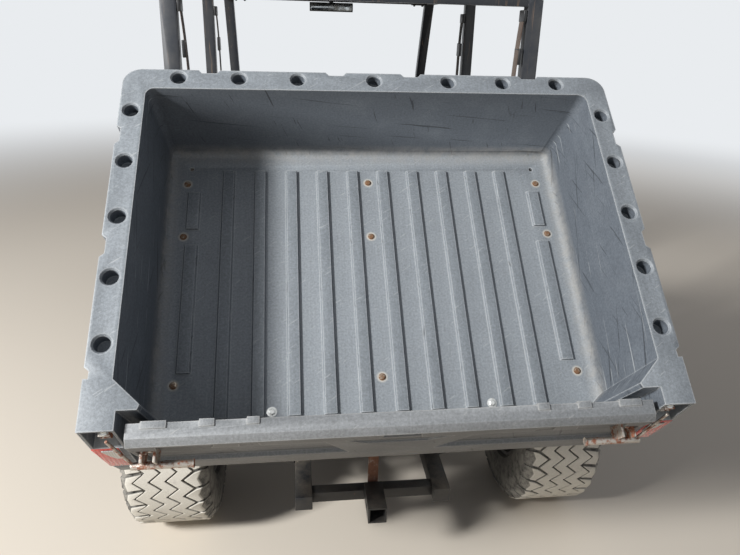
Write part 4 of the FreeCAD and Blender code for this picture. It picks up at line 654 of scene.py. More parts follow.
def turned(profile, steps=48, closed=False):
    """A form turned round the X axis, from points of (x, radius), by extruding a point and spinning it."""
    bpy.ops.object.select_all(action="DESELECT")
    bpy.ops.mesh.primitive_plane_add(size=0.01)
    piece = bpy.context.object
    bpy.ops.object.mode_set(mode="EDIT")
    bpy.ops.mesh.merge(type="CENTER")
    bpy.ops.transform.translate(value=(profile[0][0], 0, profile[0][1]))
    points = list(profile) + ([profile[0]] if closed else [])
    for (x0, r0), (x1, r1) in zip(points[:-1], points[1:]):
        bpy.ops.mesh.extrude_vertices_move(TRANSFORM_OT_translate={"value": (x1 - x0, 0, r1 - r0)})
    bpy.ops.mesh.select_all(action="SELECT")
    bpy.ops.mesh.spin(steps=steps, angle=2 * math.pi, center=(0, 0, 0), axis=(1, 0, 0))
    bpy.ops.mesh.select_all(action="SELECT")
    bpy.ops.mesh.remove_doubles(threshold=0.00005)
    bpy.ops.mesh.normals_make_consistent(inside=False)
    bpy.ops.object.mode_set(mode="OBJECT")
    return piece


def round_tread(points, share):
    """Points of (x, pitch share, radius) as places round the axle; share scales x."""
    step = 2 * math.pi / TREAD_PITCHES
    return [[Vector((x * share, r * math.sin((t - 0.5) * step), r * math.cos((t - 0.5) * step)))
             for x, t, r in row] for row in points]


def tread_block(rows, share, open_ends):
    """One pitch of a rib or lug: a surface drawn in towards the axle, then spun round the tyre."""
    block = moulded_grid(round_tread(rows, share))
    bpy.ops.object.mode_set(mode="EDIT")
    bpy.ops.mesh.select_all(action="SELECT")
    inward = (TYRE_RADIUS - TREAD_DEPTH - 0.003) / TYRE_RADIUS
    bpy.ops.mesh.extrude_region_move(TRANSFORM_OT_translate={"value": (0, 0, 0)})
    bpy.ops.transform.resize(value=(1, inward, inward), center_override=(0, 0, 0))
    bpy.ops.mesh.select_all(action="SELECT")
    bpy.ops.mesh.normals_make_consistent(inside=False)
    if open_ends:
        mesh = bmesh.from_edit_mesh(block.data)
        half_angle = math.pi / TREAD_PITCHES
        for face in mesh.faces:
            turn = [abs(abs(math.atan2(v.co.y, v.co.z)) - half_angle) for v in face.verts]
            sides = {v.co.y > 0 for v in face.verts}
            face.select = max(turn) < 0.001 and len(sides) == 1
        bmesh.update_edit_mesh(block.data)
        bpy.ops.mesh.delete(type="FACE")
    bpy.ops.mesh.select_all(action="SELECT")
    bpy.ops.mesh.spin(steps=TREAD_PITCHES - 1, dupli=True, angle=2 * math.pi * (1 - 1 / TREAD_PITCHES),
                      center=(0, 0, 0), axis=(1, 0, 0))
    bpy.ops.mesh.select_all(action="SELECT")
    bpy.ops.mesh.remove_doubles(threshold=0.0001)
    bpy.ops.object.mode_set(mode="OBJECT")
    return eased(block, 0.0012, sharp=40, segments=1, smooth=30)


def new_tyre(width):
    """A tyre about the origin: a hollow carcass, three zigzag ribs and a row of lugs on each shoulder."""
    share = width / TREAD_DRAWN_WIDE
    half = width / 2
    bead = BEAD_SHARE * width
    outside = [(bead, 0.1532), (bead, 0.161), (0.955 * half, 0.170), (0.965 * half, 0.186),
               (0.985 * half, 0.192), (0.985 * half, 0.198), (0.975 * half, 0.204), (half, 0.236),
               (0.995 * half, 0.262), (0.975 * half, 0.285), (0.93 * half, 0.303), (0.86 * half, 0.315),
               (0.6 * half, 0.3205)]
    carcass = turned(outside + [(-x, r) for x, r in outside[::-1]], steps=60, closed=True)
    pieces = [eased(carcass, 0, smooth=50)]
    for index in (-1, 0, 1):
        left = index * RIB_PITCH - RIB_PITCH / 2 + GROOVE / 2
        across = RIB_PITCH - GROOVE
        rib = [[(left + swing, t, TYRE_RADIUS), (left + across + swing, t, TYRE_RADIUS)]
               for t, swing in ((0.0, -ZIGZAG), (0.5, ZIGZAG), (1.0, -ZIGZAG))]
        pieces.append(tread_block(rib, share, True))
    edge = 1.5 * RIB_PITCH + GROOVE / 2
    crest = TYRE_RADIUS
    lip = 0.147
    right_lug = [[(edge - ZIGZAG + 0.006, 0.10, crest), (0.118, 0.02, crest), (lip, -0.10, 0.300)],
                 [(edge + ZIGZAG * 0.9, 0.50, crest), (0.124, 0.42, crest), (lip, 0.26, 0.296)],
                 [(edge - ZIGZAG + 0.004, 0.93, crest), (0.118, 0.80, crest), (lip, 0.62, 0.300)]]
    left_lug = [[(-edge - ZIGZAG + 0.001, 0.07, crest), (-0.124, 0.16, crest), (-lip, 0.20, 0.300)],
                [(-edge + ZIGZAG * 0.85, 0.50, crest), (-0.112, 0.55, crest), (-lip, 0.52, 0.296)],
                [(-edge - ZIGZAG + 0.001, 0.90, crest), (-0.124, 0.98, crest), (-lip, 0.92, 0.300)]]
    pieces += [tread_block(lug, share, False) for lug in (right_lug, left_lug)]
    return joined(*pieces)


def tyre_finish(name, axle_y):
    """Vulcanised rubber: dark and matt, with dried pale dust on the tread and thin dust on the sidewall."""
    material, tree, shader = new_material(name, IOR=1.52)
    spot = add(tree, "ShaderNodeTexCoord").outputs["Object"]
    centred = add(tree, "ShaderNodeMapping", {"Vector": spot, "Location": (0, -axle_y, -AXLE_Z)})
    flat = add(tree, "ShaderNodeVectorMath", {0: centred, 1: (0, 1, 1)}, operation="MULTIPLY")
    radius = add(tree, "ShaderNodeVectorMath", {0: flat.outputs["Vector"]}, operation="LENGTH")
    tread = add(tree, "ShaderNodeMapRange", {"Value": radius.outputs["Value"],
                "From Min": TYRE_RADIUS - 0.0065, "From Max": TYRE_RADIUS - 0.003})
    wall = add(tree, "ShaderNodeMapRange", {"Value": radius.outputs["Value"], "From Min": 0.18,
               "From Max": 0.318, "To Min": 0.12, "To Max": 0.42})
    cloud = add(tree, "ShaderNodeTexNoise", {"Vector": spot, "Scale": 30.0, "Detail": 9.0, "Roughness": 0.75})
    patchy = add(tree, "ShaderNodeMapRange", {"Value": cloud, "From Min": 0.36, "From Max": 0.56})
    thin = add(tree, "ShaderNodeMath", {0: wall, 1: patchy}, operation="MULTIPLY")
    bare = add(tree, "ShaderNodeMapRange", {"Value": cloud, "From Min": 0.30, "From Max": 0.42,
               "To Min": 0.72})
    cover = add(tree, "ShaderNodeMath", {0: tread, 1: bare}, operation="MULTIPLY")
    dust = add(tree, "ShaderNodeMath", {0: cover, 1: thin}, operation="MAXIMUM")
    fleck = add(tree, "ShaderNodeTexNoise", {"Vector": spot, "Scale": 260.0, "Detail": 4.0, "Roughness": 0.7})
    pale = add(tree, "ShaderNodeMix", {0: fleck, 6: "#aca79c", 7: "#d9d5cb"}, data_type="RGBA")
    colour = add(tree, "ShaderNodeMix", {0: dust, 6: "#262523", 7: pale}, data_type="RGBA")
    rough = add(tree, "ShaderNodeMapRange", {"Value": dust, "To Min": 0.68, "To Max": 0.96})
    bump = add(tree, "ShaderNodeBump", {"Height": fleck, "Strength": 0.4, "Distance": 0.0006})
    plugged(tree, shader, Base_Color=colour, Roughness=rough, Normal=bump)
    return material


# Rims: pressed steel, enamelled dark grey, with eight windows in a dished disc. Four plated nuts hold each
# on its hub under a plated cap. The tyre's bead sits between the flanges, and a valve stands by the disc.
DISC_SHARE = 0.30
RIM_WINDOWS = 8
RIM_WINDOW_SIZE = (0.06, 0.034, 0.024)
RIM_WINDOW_RADIUS = 0.116
NUT_CIRCLE = 0.046


def new_rim(width):
    """A rim about the origin: a flanged barrel round a dished disc with its windows cut out."""
    bead = BEAD_SHARE * width
    disc = DISC_SHARE * width
    barrel = turned([(-bead - 0.006, 0.158), (-bead - 0.001, 0.158), (-bead, 0.152), (-bead + 0.02, 0.151),
                     (-bead + 0.032, 0.143), (bead - 0.032, 0.143), (bead - 0.02, 0.151), (bead, 0.152),
                     (bead + 0.001, 0.158), (bead + 0.006, 0.158), (bead + 0.006, 0.1535),
                     (bead + 0.002, 0.147), (bead - 0.02, 0.1465), (bead - 0.034, 0.1395),
                     (-bead + 0.034, 0.1395), (-bead + 0.02, 0.1465), (-bead - 0.002, 0.147),
                     (-bead - 0.006, 0.1535)], steps=64, closed=True)
    dish = turned([(disc - 0.001, 0.1405), (disc - 0.010, 0.125), (disc - 0.012, 0.104),
                   (disc + 0.004, 0.074), (disc + 0.008, 0.062), (disc + 0.008, 0.024),
                   (disc + 0.003, 0.024), (disc + 0.003, 0.060), (disc - 0.002, 0.071),
                   (disc - 0.018, 0.102), (disc - 0.016, 0.126), (disc - 0.006, 0.1405)],
                  steps=64, closed=True)
    window = eased(box(RIM_WINDOW_SIZE, (disc - 0.01, 0, RIM_WINDOW_RADIUS)), 0.010, segments=3)
    cutter = spread(window, [Matrix.Rotation(2 * math.pi * index / RIM_WINDOWS, 4, "X")
                             for index in range(RIM_WINDOWS)])
    cut = dish.modifiers.new("windows", "BOOLEAN")
    cut.object = cutter
    cut.solver = "EXACT"
    alone(dish)
    bpy.ops.object.modifier_apply(modifier=cut.name)
    bpy.data.objects.remove(cutter)
    return eased(joined(barrel, dish), 0.0012, sharp=45, smooth=40)


def new_hub(width):
    """Four nuts, a cap and the tyre's valve."""
    disc = DISC_SHARE * width
    face = Matrix.Translation((disc + 0.008, 0, 0)) @ Matrix.Rotation(math.pi / 2, 4, "Y")
    pieces = [spread(knob(0.0095, 0.012, 6, foot=0.002),
                     [Matrix.Rotation(math.pi / 4 + index * math.pi / 2, 4, "X") @ face
                      @ Matrix.Translation((0, NUT_CIRCLE, 0)) for index in range(4)])]
    pieces.append(eased(turned([(disc + 0.004, 0), (disc + 0.004, 0.030), (disc + 0.014, 0.030),
                                (disc + 0.020, 0.024), (disc + 0.021, 0)], steps=32), 0.001))
    valve = turned([(disc - 0.004, 0), (disc - 0.004, 0.004), (disc + 0.014, 0.004), (disc + 0.022, 0.003),
                    (disc + 0.022, 0)], steps=12)
    valve.data.transform(Matrix.Translation((0, 0.096, 0.096)))
    return joined(*pieces, valve)


rim_enamel = powder_coat("rim_steel_enamelled", "#34373b", "#a39a8b", dusty=0.35, roughness=0.35)
for end, axle_y, width in AXLES:
    rubber = tyre_finish("tyre_rubber_dusty_" + end, axle_y)
    for kind, pattern, material, slot in (("tyre", new_tyre(width), rubber, "tyre_rubber"),
                                          ("rim", new_rim(width), rim_enamel, "rim_paint"),
                                          ("hub", new_hub(width), bolt_steel, "zinc_steel")):
        for side, name in ((1, "right"), (-1, "left")):
            centre = Matrix.Translation((side * HALF_TRACK, axle_y, AXLE_Z))
            piece = again(pattern, centre @ Matrix.Diagonal((side, 1, 1, 1)))
            nodes = ["%s_%s_%s" % (kind, end, name)] if kind != "hub" else []
            fitted(piece, "%s_%s_%s_finished" % (kind, end, name), material,
                   "wheel_%s_%s" % (end, name), slot, *nodes)
        bpy.data.objects.remove(pattern)


# Each bench has two seats. A cushion and a back are foam under black vinyl, with a seam along each side
# and two or three across, so they crown between the seams and pull in at the corners.
BENCH_SPANS_X = ((-0.610, -0.110), (-0.096, 0.610))
CUSHION_FRONT_Y = 0.655
CUSHION_BACK_Y = 0.175
CUSHION_LOW_Z = 0.6203
CUSHION_TOP_Z = 0.740
BACK_FOOT_Z = 0.633
BACK_THICK = 0.095
BACK_TALL = 0.640
BACK_LEAN = math.radians(10)
BENCH_PITCH_Y = 0.760
PAD_START_IN = 0.009
PAD_EDGE = 0.022
PAD_VOXEL = 0.011
PAD_PRESSURE = 4.0
PAD_FRAMES = 20
PAD_CAP = 0.014
PAD_CROWN = 0.006
PAD_CLEAR = 0.0005
SEAM_DEEP = 0.007
SEAM_WIDE = 0.013
SIDE_SEAM_IN = 0.075
CUSHION_SEAMS = (-0.06, 0.10)
BACK_SEAMS = (-0.16, 0.02, 0.19)


def moulded_vinyl(name, colour, dust, grain_mm=1.6, crease_mm=60):
    """Embossed vinyl cloth: a fine leather grain, soft creases, dust in the hollows, a dull sheen."""
    material, tree, shader = new_material(name, IOR=1.52, Sheen_Weight=0.15, Sheen_Roughness=0.5)
    place = add(tree, "ShaderNodeTexCoord")
    spot = place.outputs["Object"]
    grain = add(tree, "ShaderNodeTexVoronoi", {"Vector": spot, "Scale": 1000 / grain_mm / 2.5})
    crease = add(tree, "ShaderNodeTexNoise", {"Vector": spot, "Scale": 1000 / crease_mm, "Detail": 5.0,
                 "Distortion": 0.8})
    facing = add(tree, "ShaderNodeSeparateXYZ", {"Vector": place.outputs["Normal"]})
    settled = add(tree, "ShaderNodeMapRange", {"Value": facing.outputs["Z"], "From Min": 0.2, "To Max": 0.55})
    drift = add(tree, "ShaderNodeMapRange", {"Value": crease, "From Min": 0.35, "From Max": 0.7})
    settled = add(tree, "ShaderNodeMath", {0: settled, 1: drift}, operation="MULTIPLY")
    tint = add(tree, "ShaderNodeMix", {0: settled, 6: colour, 7: dust}, data_type="RGBA")
    rough = add(tree, "ShaderNodeMapRange", {"Value": settled, "To Min": 0.42, "To Max": 0.8})
    folds = add(tree, "ShaderNodeBump", {"Height": crease, "Strength": 0.25, "Distance": 0.004})
    bump = add(tree, "ShaderNodeBump", {"Height": grain, "Normal": folds, "Strength": 0.3,
               "Distance": grain_mm / 4000})
    plugged(tree, shader, Base_Color=tint, Roughness=rough, Normal=bump)
    return material


def foam_pad(size, seams_at):
    """A padded block about the origin: swollen by cloth, then sewn in along its sides and at these Y."""
    pad = eased(box([edge - 2 * PAD_START_IN for edge in size]), PAD_EDGE, segments=3)
    net = pad.modifiers.new("net", "REMESH")
    net.mode = "VOXEL"
    net.voxel_size = PAD_VOXEL
    bpy.ops.object.modifier_apply(modifier=net.name)
    half = [edge / 2 for edge in size]
    before = [vertex.co.copy() for vertex in pad.data.vertices]
    cloth = pad.modifiers.new("foam", "CLOTH")
    cloth.settings.use_pressure = True
    cloth.settings.uniform_pressure_force = PAD_PRESSURE
    cloth.settings.effector_weights.gravity = 0
    for step in range(1, PAD_FRAMES + 1):
        bpy.context.scene.frame_set(step)
    bpy.ops.object.modifier_apply(modifier=cloth.name)
    bpy.context.scene.frame_set(1)
    for vertex, start in zip(pad.data.vertices, before):
        moved = vertex.co - start
        vertex.co = start + moved * min(1.0, PAD_CAP / max(moved.length, 1e-6))
    smoother = pad.modifiers.new("finer", "SUBSURF")
    smoother.levels = smoother.render_levels = 1
    bpy.ops.object.modifier_apply(modifier=smoother.name)
    for vertex in pad.data.vertices:
        spot = vertex.co
        crown = max(0.0, 1 - (spot.x / half[0]) ** 4) * max(0.0, 1 - (spot.y / half[1]) ** 4)
        pull = 0.0
        if spot.z > 0:
            lines = [abs(spot.y - y) for y in seams_at] + [abs(abs(spot.x) - (half[0] - SIDE_SEAM_IN))]
            pull = SEAM_DEEP * max(math.exp(-(line / SEAM_WIDE) ** 2) for line in lines)
            pull += PAD_CROWN * (1 - crown)
        spot.z -= pull
        for axis in range(3):
            spot[axis] = max(PAD_CLEAR - half[axis], min(half[axis] - PAD_CLEAR, spot[axis]))
    bpy.ops.object.shade_smooth()
    return pad


seat_vinyl = moulded_vinyl("seat_vinyl_embossed", "#232427", "#77716a")
for low_x, high_x in BENCH_SPANS_X:
    middle_x, wide = (low_x + high_x) / 2, high_x - low_x
    deep = CUSHION_FRONT_Y - CUSHION_BACK_Y
    cushion = foam_pad((wide, deep, CUSHION_TOP_Z - CUSHION_LOW_Z), CUSHION_SEAMS)
    cushion.data.transform(Matrix.Translation((middle_x, CUSHION_BACK_Y + deep / 2,
                                               (CUSHION_LOW_Z + CUSHION_TOP_Z) / 2)))
    back = foam_pad((wide, BACK_TALL, BACK_THICK), BACK_SEAMS)
    back.data.transform(Matrix.Translation((middle_x, CUSHION_BACK_Y, BACK_FOOT_Z))
                        @ Matrix.Rotation(math.pi / 2 + BACK_LEAN, 4, "X")
                        @ Matrix.Rotation(math.pi, 4, "Y")
                        @ Matrix.Translation((0, BACK_TALL / 2, -BACK_THICK / 2)))
    hand = "left" if middle_x < 0 else "right"
    for name, pad in (("cushion", cushion), ("back", back)):
        for row, shift in (("front", 0), ("rear", -BENCH_PITCH_Y)):
            seat = again(pad, Matrix.Translation((0, shift, 0)))
            fitted(seat, "seat_%s_%s_%s" % (name, row, hand), seat_vinyl, "chassis", "seat_vinyl",
                   "seat_cushions")
        bpy.data.objects.remove(pad)


# Lap and shoulder belts hang by the posts: woven polyester webbing, browned by dust on the rear posts.
# Each runs from a reel at the post's foot through a black guide at its top, with a tongue on it.
# Each post: its y, half its width, the z and x of its bends, and the colour of its belt.
POST_BELTS = (("rear", -0.770, 0.030, ((0.480, 0.664), (1.250, 0.727), (1.933, 0.713)), "#4a3a30"),
              ("middle", 0.045, 0.025, ((0.480, 0.668), (1.250, 0.680), (1.998, 0.671)), "#1d1e20"))
WEB_HALF = 0.024
WEB_THICK = 0.0026
WEB_ENDS_Z = (0.760, 1.872)
WEB_STEPS = 48
WEB_OFF_POST = (0.020, 0.012)

# The guide, the tongue and the reel: lowest and highest z, depth, width, and how far off the post.
BELT_FITTINGS = ((1.852, 1.896, 0.014, 0.056, 0.010),
                 (1.688, 1.752, 0.012, 0.058, 0.018),
                 (0.640, 0.760, 0.026, 0.044, 0.014))


def woven_polyester(name, colour, dust, thread_mm=4.75):
    """Belt webbing: ribs of yarn along and across the belt, drawn coarse to show, with dust in the weave."""
    material, tree, shader = new_material(name, Roughness=0.82, Sheen_Weight=0.3)
    spot = add(tree, "ShaderNodeTexCoord").outputs["Object"]
    threads = {"Vector": spot, "Scale": 1000 * WAVE_BAND / thread_mm}
    warp = add(tree, "ShaderNodeTexWave", threads, bands_direction="Y")
    weft = add(tree, "ShaderNodeTexWave", threads, bands_direction="Z")
    weave = add(tree, "ShaderNodeMath", {0: warp.outputs["Fac"], 1: weft.outputs["Fac"]},
                operation="MULTIPLY")
    stain = add(tree, "ShaderNodeTexNoise", {"Vector": spot, "Scale": 9.0, "Detail": 6.0})
    stain = add(tree, "ShaderNodeMapRange", {"Value": stain, "From Min": 0.4, "From Max": 0.7, "To Max": 0.5})
    tint = add(tree, "ShaderNodeMix", {0: stain, 6: colour, 7: dust}, data_type="RGBA")
    bump = add(tree, "ShaderNodeBump", {"Height": weave, "Strength": 0.6, "Distance": 0.0006})
    plugged(tree, shader, Base_Color=tint, Normal=bump)
    return material


def post_face_x(line, half_wide, z):
    """The inner face of a post at a height, from the post's middle line."""
    for (low_z, low_x), (high_z, high_x) in zip(line, line[1:]):
        if z <= high_z:
            return low_x + (high_x - low_x) * (z - low_z) / (high_z - low_z) - half_wide
    return line[-1][1] - half_wide


belt_black = moulded_vinyl("belt_guide_polypropylene", "#141517", "#6f685e", grain_mm=0.9)
for post, y, half_wide, line, colour in POST_BELTS:
    webbing = woven_polyester("belt_webbing_" + post, colour, "#75695c")
    foot_x, head_x = [post_face_x(line, half_wide, z) - off for z, off in zip(WEB_ENDS_Z, WEB_OFF_POST)]
    for side, hand in ((-1, "left"), (1, "right")):
        rows = []
        for step in range(WEB_STEPS + 1):
            along = step / WEB_STEPS
            bow = 0.006 * math.sin(math.pi * along) + 0.0015 * math.sin(5 * math.pi * along)
            x = side * (foot_x + (head_x - foot_x) * along - bow)
            z = WEB_ENDS_Z[0] + (WEB_ENDS_Z[1] - WEB_ENDS_Z[0]) * along
            rows.append([(x, y + WEB_HALF * across, z) for across in (-1, -0.5, 0, 0.5, 1)])
        web = eased(thickened(moulded_grid(rows), WEB_THICK), 0.0006, smooth=50)
        fitted(web, "belt_webbing_%s_%s" % (post, hand), webbing, "chassis", "webbing", "seat_belts")
        parts = []
        for low_z, high_z, deep, wide, off in BELT_FITTINGS:
            middle_z = (low_z + high_z) / 2
            block = box((deep, wide, high_z - low_z),
                        (side * (post_face_x(line, half_wide, middle_z) - off), y, middle_z))
            parts.append(eased(pressed(block, (-side, 0, 0), (0.007, -0.003)), 0.0035, segments=3))
        fitted(joined(*parts), "belt_fittings_%s_%s" % (post, hand), belt_black, "chassis", "black_plastic",
               "seat_belts")


# Roof, cab floor, seat boxes and dashboard are black polypropylene mouldings with a leather grain,
# dull with dust where they face up.
def moulded_polypropylene(name, colour, bleached, dust, dusty=0.5, grain_mm=1.4, roughness=0.55,
                          edge_mm=4.0, stud_mm=0):
    """Moulded polypropylene: leather grain or studs, pale rubbed edges, bleached patches, settled dust."""
    material, tree, shader = new_material(name, IOR=1.49)
    place = add(tree, "ShaderNodeTexCoord")
    spot = place.outputs["Object"]
    grain = add(tree, "ShaderNodeTexNoise", {"Vector": spot, "Scale": 1000 / grain_mm / 2, "Detail": 2.0})
    speckle = add(tree, "ShaderNodeTexNoise", {"Vector": spot, "Scale": 1000 / grain_mm / 5, "Detail": 4.0,
                  "Roughness": 0.75})
    patches = add(tree, "ShaderNodeTexNoise", {"Vector": spot, "Scale": 5.5, "Detail": 7.0,
                  "Roughness": 0.62})
    amount = add(tree, "ShaderNodeMath", {0: patches, 1: speckle}, operation="MULTIPLY")
    amount = add(tree, "ShaderNodeMapRange", {"Value": amount, "From Min": 0.15, "From Max": 0.38})
    tint = add(tree, "ShaderNodeMix", {0: amount, 6: colour, 7: bleached}, data_type="RGBA")
    rubbed = rubbed_edges(tree, edge_mm / 1000, 0.5)
    tint = add(tree, "ShaderNodeMix", {0: rubbed, 6: tint, 7: bleached}, data_type="RGBA")
    facing = add(tree, "ShaderNodeSeparateXYZ", {"Vector": place.outputs["Normal"]})
    settled = add(tree, "ShaderNodeMapRange", {"Value": facing.outputs["Z"], "From Min": 0.1,
                  "To Max": dusty})
    drift = add(tree, "ShaderNodeTexNoise", {"Vector": spot, "Scale": 9.0, "Detail": 9.0, "Roughness": 0.7})
    drift = add(tree, "ShaderNodeMapRange", {"Value": drift, "From Min": 0.36, "From Max": 0.68,
                "To Min": 0.15})
    settled = add(tree, "ShaderNodeMath", {0: settled, 1: drift}, operation="MULTIPLY")
    tint = add(tree, "ShaderNodeMix", {0: settled, 6: tint, 7: dust}, data_type="RGBA")
    rough = add(tree, "ShaderNodeMapRange", {"Value": settled, "To Min": roughness, "To Max": 0.92})
    bump = add(tree, "ShaderNodeBump", {"Height": grain, "Strength": 0.35, "Distance": grain_mm / 4000})
    if stud_mm:
        pitch = {"Vector": spot, "Scale": 1000 * WAVE_BAND / stud_mm}
        rows = add(tree, "ShaderNodeTexWave", pitch, bands_direction="X")
        files = add(tree, "ShaderNodeTexWave", pitch, bands_direction="Y")
        studs = add(tree, "ShaderNodeMath", {0: rows.outputs["Fac"], 1: files.outputs["Fac"]},
                    operation="MULTIPLY")
        studs = add(tree, "ShaderNodeMapRange", {"Value": studs, "From Min": 0.4, "From Max": 0.6})
        bump = add(tree, "ShaderNodeBump", {"Height": studs, "Normal": bump, "Strength": 0.8,
                   "Distance": 0.002})
    plugged(tree, shader, Base_Color=tint, Roughness=rough, Normal=bump)
    return material


cab_polypropylene = moulded_polypropylene("cab_polypropylene_moulded", "#222427", "#3b3e42", "#8b8375")
dressed("roof_panel", cab_polypropylene, 0.006, segments=3)
dressed("seat_boxes", cab_polypropylene, 0.008, segments=3)
dressed("dashboard", cab_polypropylene, 0.005, segments=3)
floor_polypropylene = moulded_polypropylene("cab_floor_polypropylene_studded", "#212325", "#3a3c3e",
                                            "#8b8172", dusty=0.75, stud_mm=51.46)
dressed("cab_floor", floor_polypropylene, 0.003)


# A mirror hangs under the header bar on a short stem: a black shell with a flat silvered glass
# that faces the driver, dusty at its edge.
MIRROR_HALF_X = 0.143
MIRROR_BACK_Y = 1.033
MIRROR_SPAN_Z = (1.912, 1.967)
MIRROR_RIM = 0.006

dressed("rear_view_mirror", cab_polypropylene, 0.006, segments=3)
glass_silver, tree, shader = new_material("mirror_glass_silvered", Metallic=1.0)
spot = add(tree, "ShaderNodeTexCoord").outputs["Object"]
film = add(tree, "ShaderNodeTexNoise", {"Vector": spot, "Scale": 22.0, "Detail": 8.0})
film = add(tree, "ShaderNodeMapRange", {"Value": film, "From Min": 0.35, "From Max": 0.75})
tint = add(tree, "ShaderNodeMix", {0: film, 6: "#cfd4d6", 7: "#8f8c85"}, data_type="RGBA")
rough = add(tree, "ShaderNodeMapRange", {"Value": film, "To Min": 0.03, "To Max": 0.4})
plugged(tree, shader, Base_Color=tint, Roughness=rough)
mirror_glass = box((2 * (MIRROR_HALF_X - MIRROR_RIM), 0.002,
                    MIRROR_SPAN_Z[1] - MIRROR_SPAN_Z[0] - 2 * MIRROR_RIM),
                   (0, MIRROR_BACK_Y - 0.0005, sum(MIRROR_SPAN_Z) / 2))
bpy.ops.object.mode_set(mode="EDIT")
mesh = bmesh.from_edit_mesh(mirror_glass.data)
for edge in mesh.edges:
    edge.select = abs(edge.verts[0].co.y - edge.verts[1].co.y) > 0.001
bmesh.update_edit_mesh(mirror_glass.data)
bpy.ops.mesh.bevel(offset=0.010, segments=5)
bpy.ops.object.mode_set(mode="OBJECT")
fitted(eased(mirror_glass, 0.0006), "rear_view_mirror_glass", glass_silver, "chassis", "mirror_shell")


# Dashboard fittings, clipped into the moulding: a row of rocker switches beside the wheel, and on the pod
# a raised bezel round a dark polycarbonate window.
DASH_SWITCH_PLACES_X = (-0.19, -0.13, -0.07, -0.01, 0.05)
CLIP_IN = 0.001
DASH_FACE = Matrix.Translation((0, 0.9386, 0.900)) @ Matrix.Rotation(math.radians(8.1), 4, "X")
POD_FACE = Matrix.Translation((-0.370, 0.985, 1.030)) @ Matrix.Rotation(math.radians(-32.5), 4, "X")


def clipped_block(size, *rims):
    """A block with its back just inside the face it stands on, its front set in and out by rims."""
    block = box(size, (0, CLIP_IN - size[1] / 2, 0))
    return eased(pressed(block, (0, -1, 0), *rims), 0.0012)


trim = moulded_polypropylene("dash_trim_polypropylene_satin", "#17181a", "#2d2f32", "#77716a", dusty=0.2,
                             roughness=0.3)
window = polycarbonate("cluster_polycarbonate_black", "#0f1113", 23.75, haze="#6f6a62", hazy=0.25)
switches = spread(clipped_block((0.038, 0.008, 0.028), (0.004, -0.003), (0.002, 0.005)),
                  [DASH_FACE @ Matrix.Translation((x, 0, 0)) for x in DASH_SWITCH_PLACES_X])
bezel = spread(clipped_block((0.186, 0.012, 0.092), (0.008, -0.006)), [POD_FACE])
fitted(joined(switches, bezel), "dashboard_fittings", trim, "chassis", "black_plastic")
pane = spread(clipped_block((0.168, 0.0075, 0.074), (0.010, 0.0008)), [POD_FACE])
fitted(pane, "instrument_window", window, "chassis", "clear_lens")


# The steering wheel: a foam rim with finger dents behind, three pressed spokes, a round hub cap,
# on a column that slopes down into the dashboard.
WHEEL_CENTRE = Vector((-0.370, 0.650, 1.050))
WHEEL_LEAN = math.radians(32)
WHEEL_RADIUS = 0.175
WHEEL_GRIP = 0.0148
WHEEL_SPOKES = (35, 145, 270)
FINGER_DENTS = 24
FINGER_DENT_SHARE = 0.14

bpy.ops.object.select_all(action="DESELECT")
bpy.ops.mesh.primitive_torus_add(major_segments=72, minor_segments=16, major_radius=WHEEL_RADIUS,
                                 minor_radius=WHEEL_GRIP)
grip = bpy.context.object
for vertex in grip.data.vertices:
    ring = Vector((vertex.co.x, vertex.co.y, 0)).normalized() * WHEEL_RADIUS
    turn = math.atan2(vertex.co.y, vertex.co.x)
    inside = max(0.0, (ring - vertex.co).dot(ring.normalized())) / WHEEL_GRIP
    dent = FINGER_DENT_SHARE * inside * (0.5 + 0.5 * math.cos(turn * FINGER_DENTS))
    vertex.co = ring + (vertex.co - ring) * (1 - dent)
eased(grip, 0, smooth=60)
hub = knob(0.041, 0.026, 32, crown=0.12)
hub.data.transform(Matrix.Translation((0, 0, -0.032)))
eased(hub, 0.003, segments=3)
spoke = pressed(box((0.138, 0.030, 0.011), (0.098, 0, -0.014)), (0, 0, 1), (0.006, -0.003))
for vertex in spoke.data.vertices:
    vertex.co.y *= 1.0 - 1.8 * max(0.0, vertex.co.x - 0.04)
spokes = spread(eased(spoke, 0.002), [Matrix.Rotation(math.radians(angle), 4, "Z") for angle in WHEEL_SPOKES])
wheel = joined(grip, hub, spokes)
wheel.data.transform(Matrix.Translation(WHEEL_CENTRE) @ Matrix.Rotation(math.pi / 2 - WHEEL_LEAN, 4, "X"))
grip_foam = moulded_vinyl("steering_wheel_polyurethane", "#1b1b1d", "#6c655c", grain_mm=1.2, crease_mm=120)
fitted(wheel, "steering_wheel_finished", grip_foam, "steering_wheel", "black_plastic", "steering_wheel")


# Hood and fenders are thermoformed in a satin dark grey, dusty on top, with a pressed line along the hood.
body_polypropylene = moulded_polypropylene("body_polypropylene_satin", "#39404a", "#474f58", "#9a9184",
                                           grain_mm=0.8, roughness=0.36, edge_mm=3)
dressed("hood", body_polypropylene, 0.008, segments=3)
dressed("front_fenders", body_polypropylene, 0.006, segments=3)
dressed("grille", cab_polypropylene, 0.003)


# A fine mesh of pressed steel stands behind the slots of the grille, to keep stones off the radiator.
GRILLE_HALF_X = 0.270
GRILLE_SPAN_Z = (0.664, 0.822)
GRILLE_MESH_Y = 2.0655
MESH_PITCH = 0.009
MESH_WIRE = 0.0022

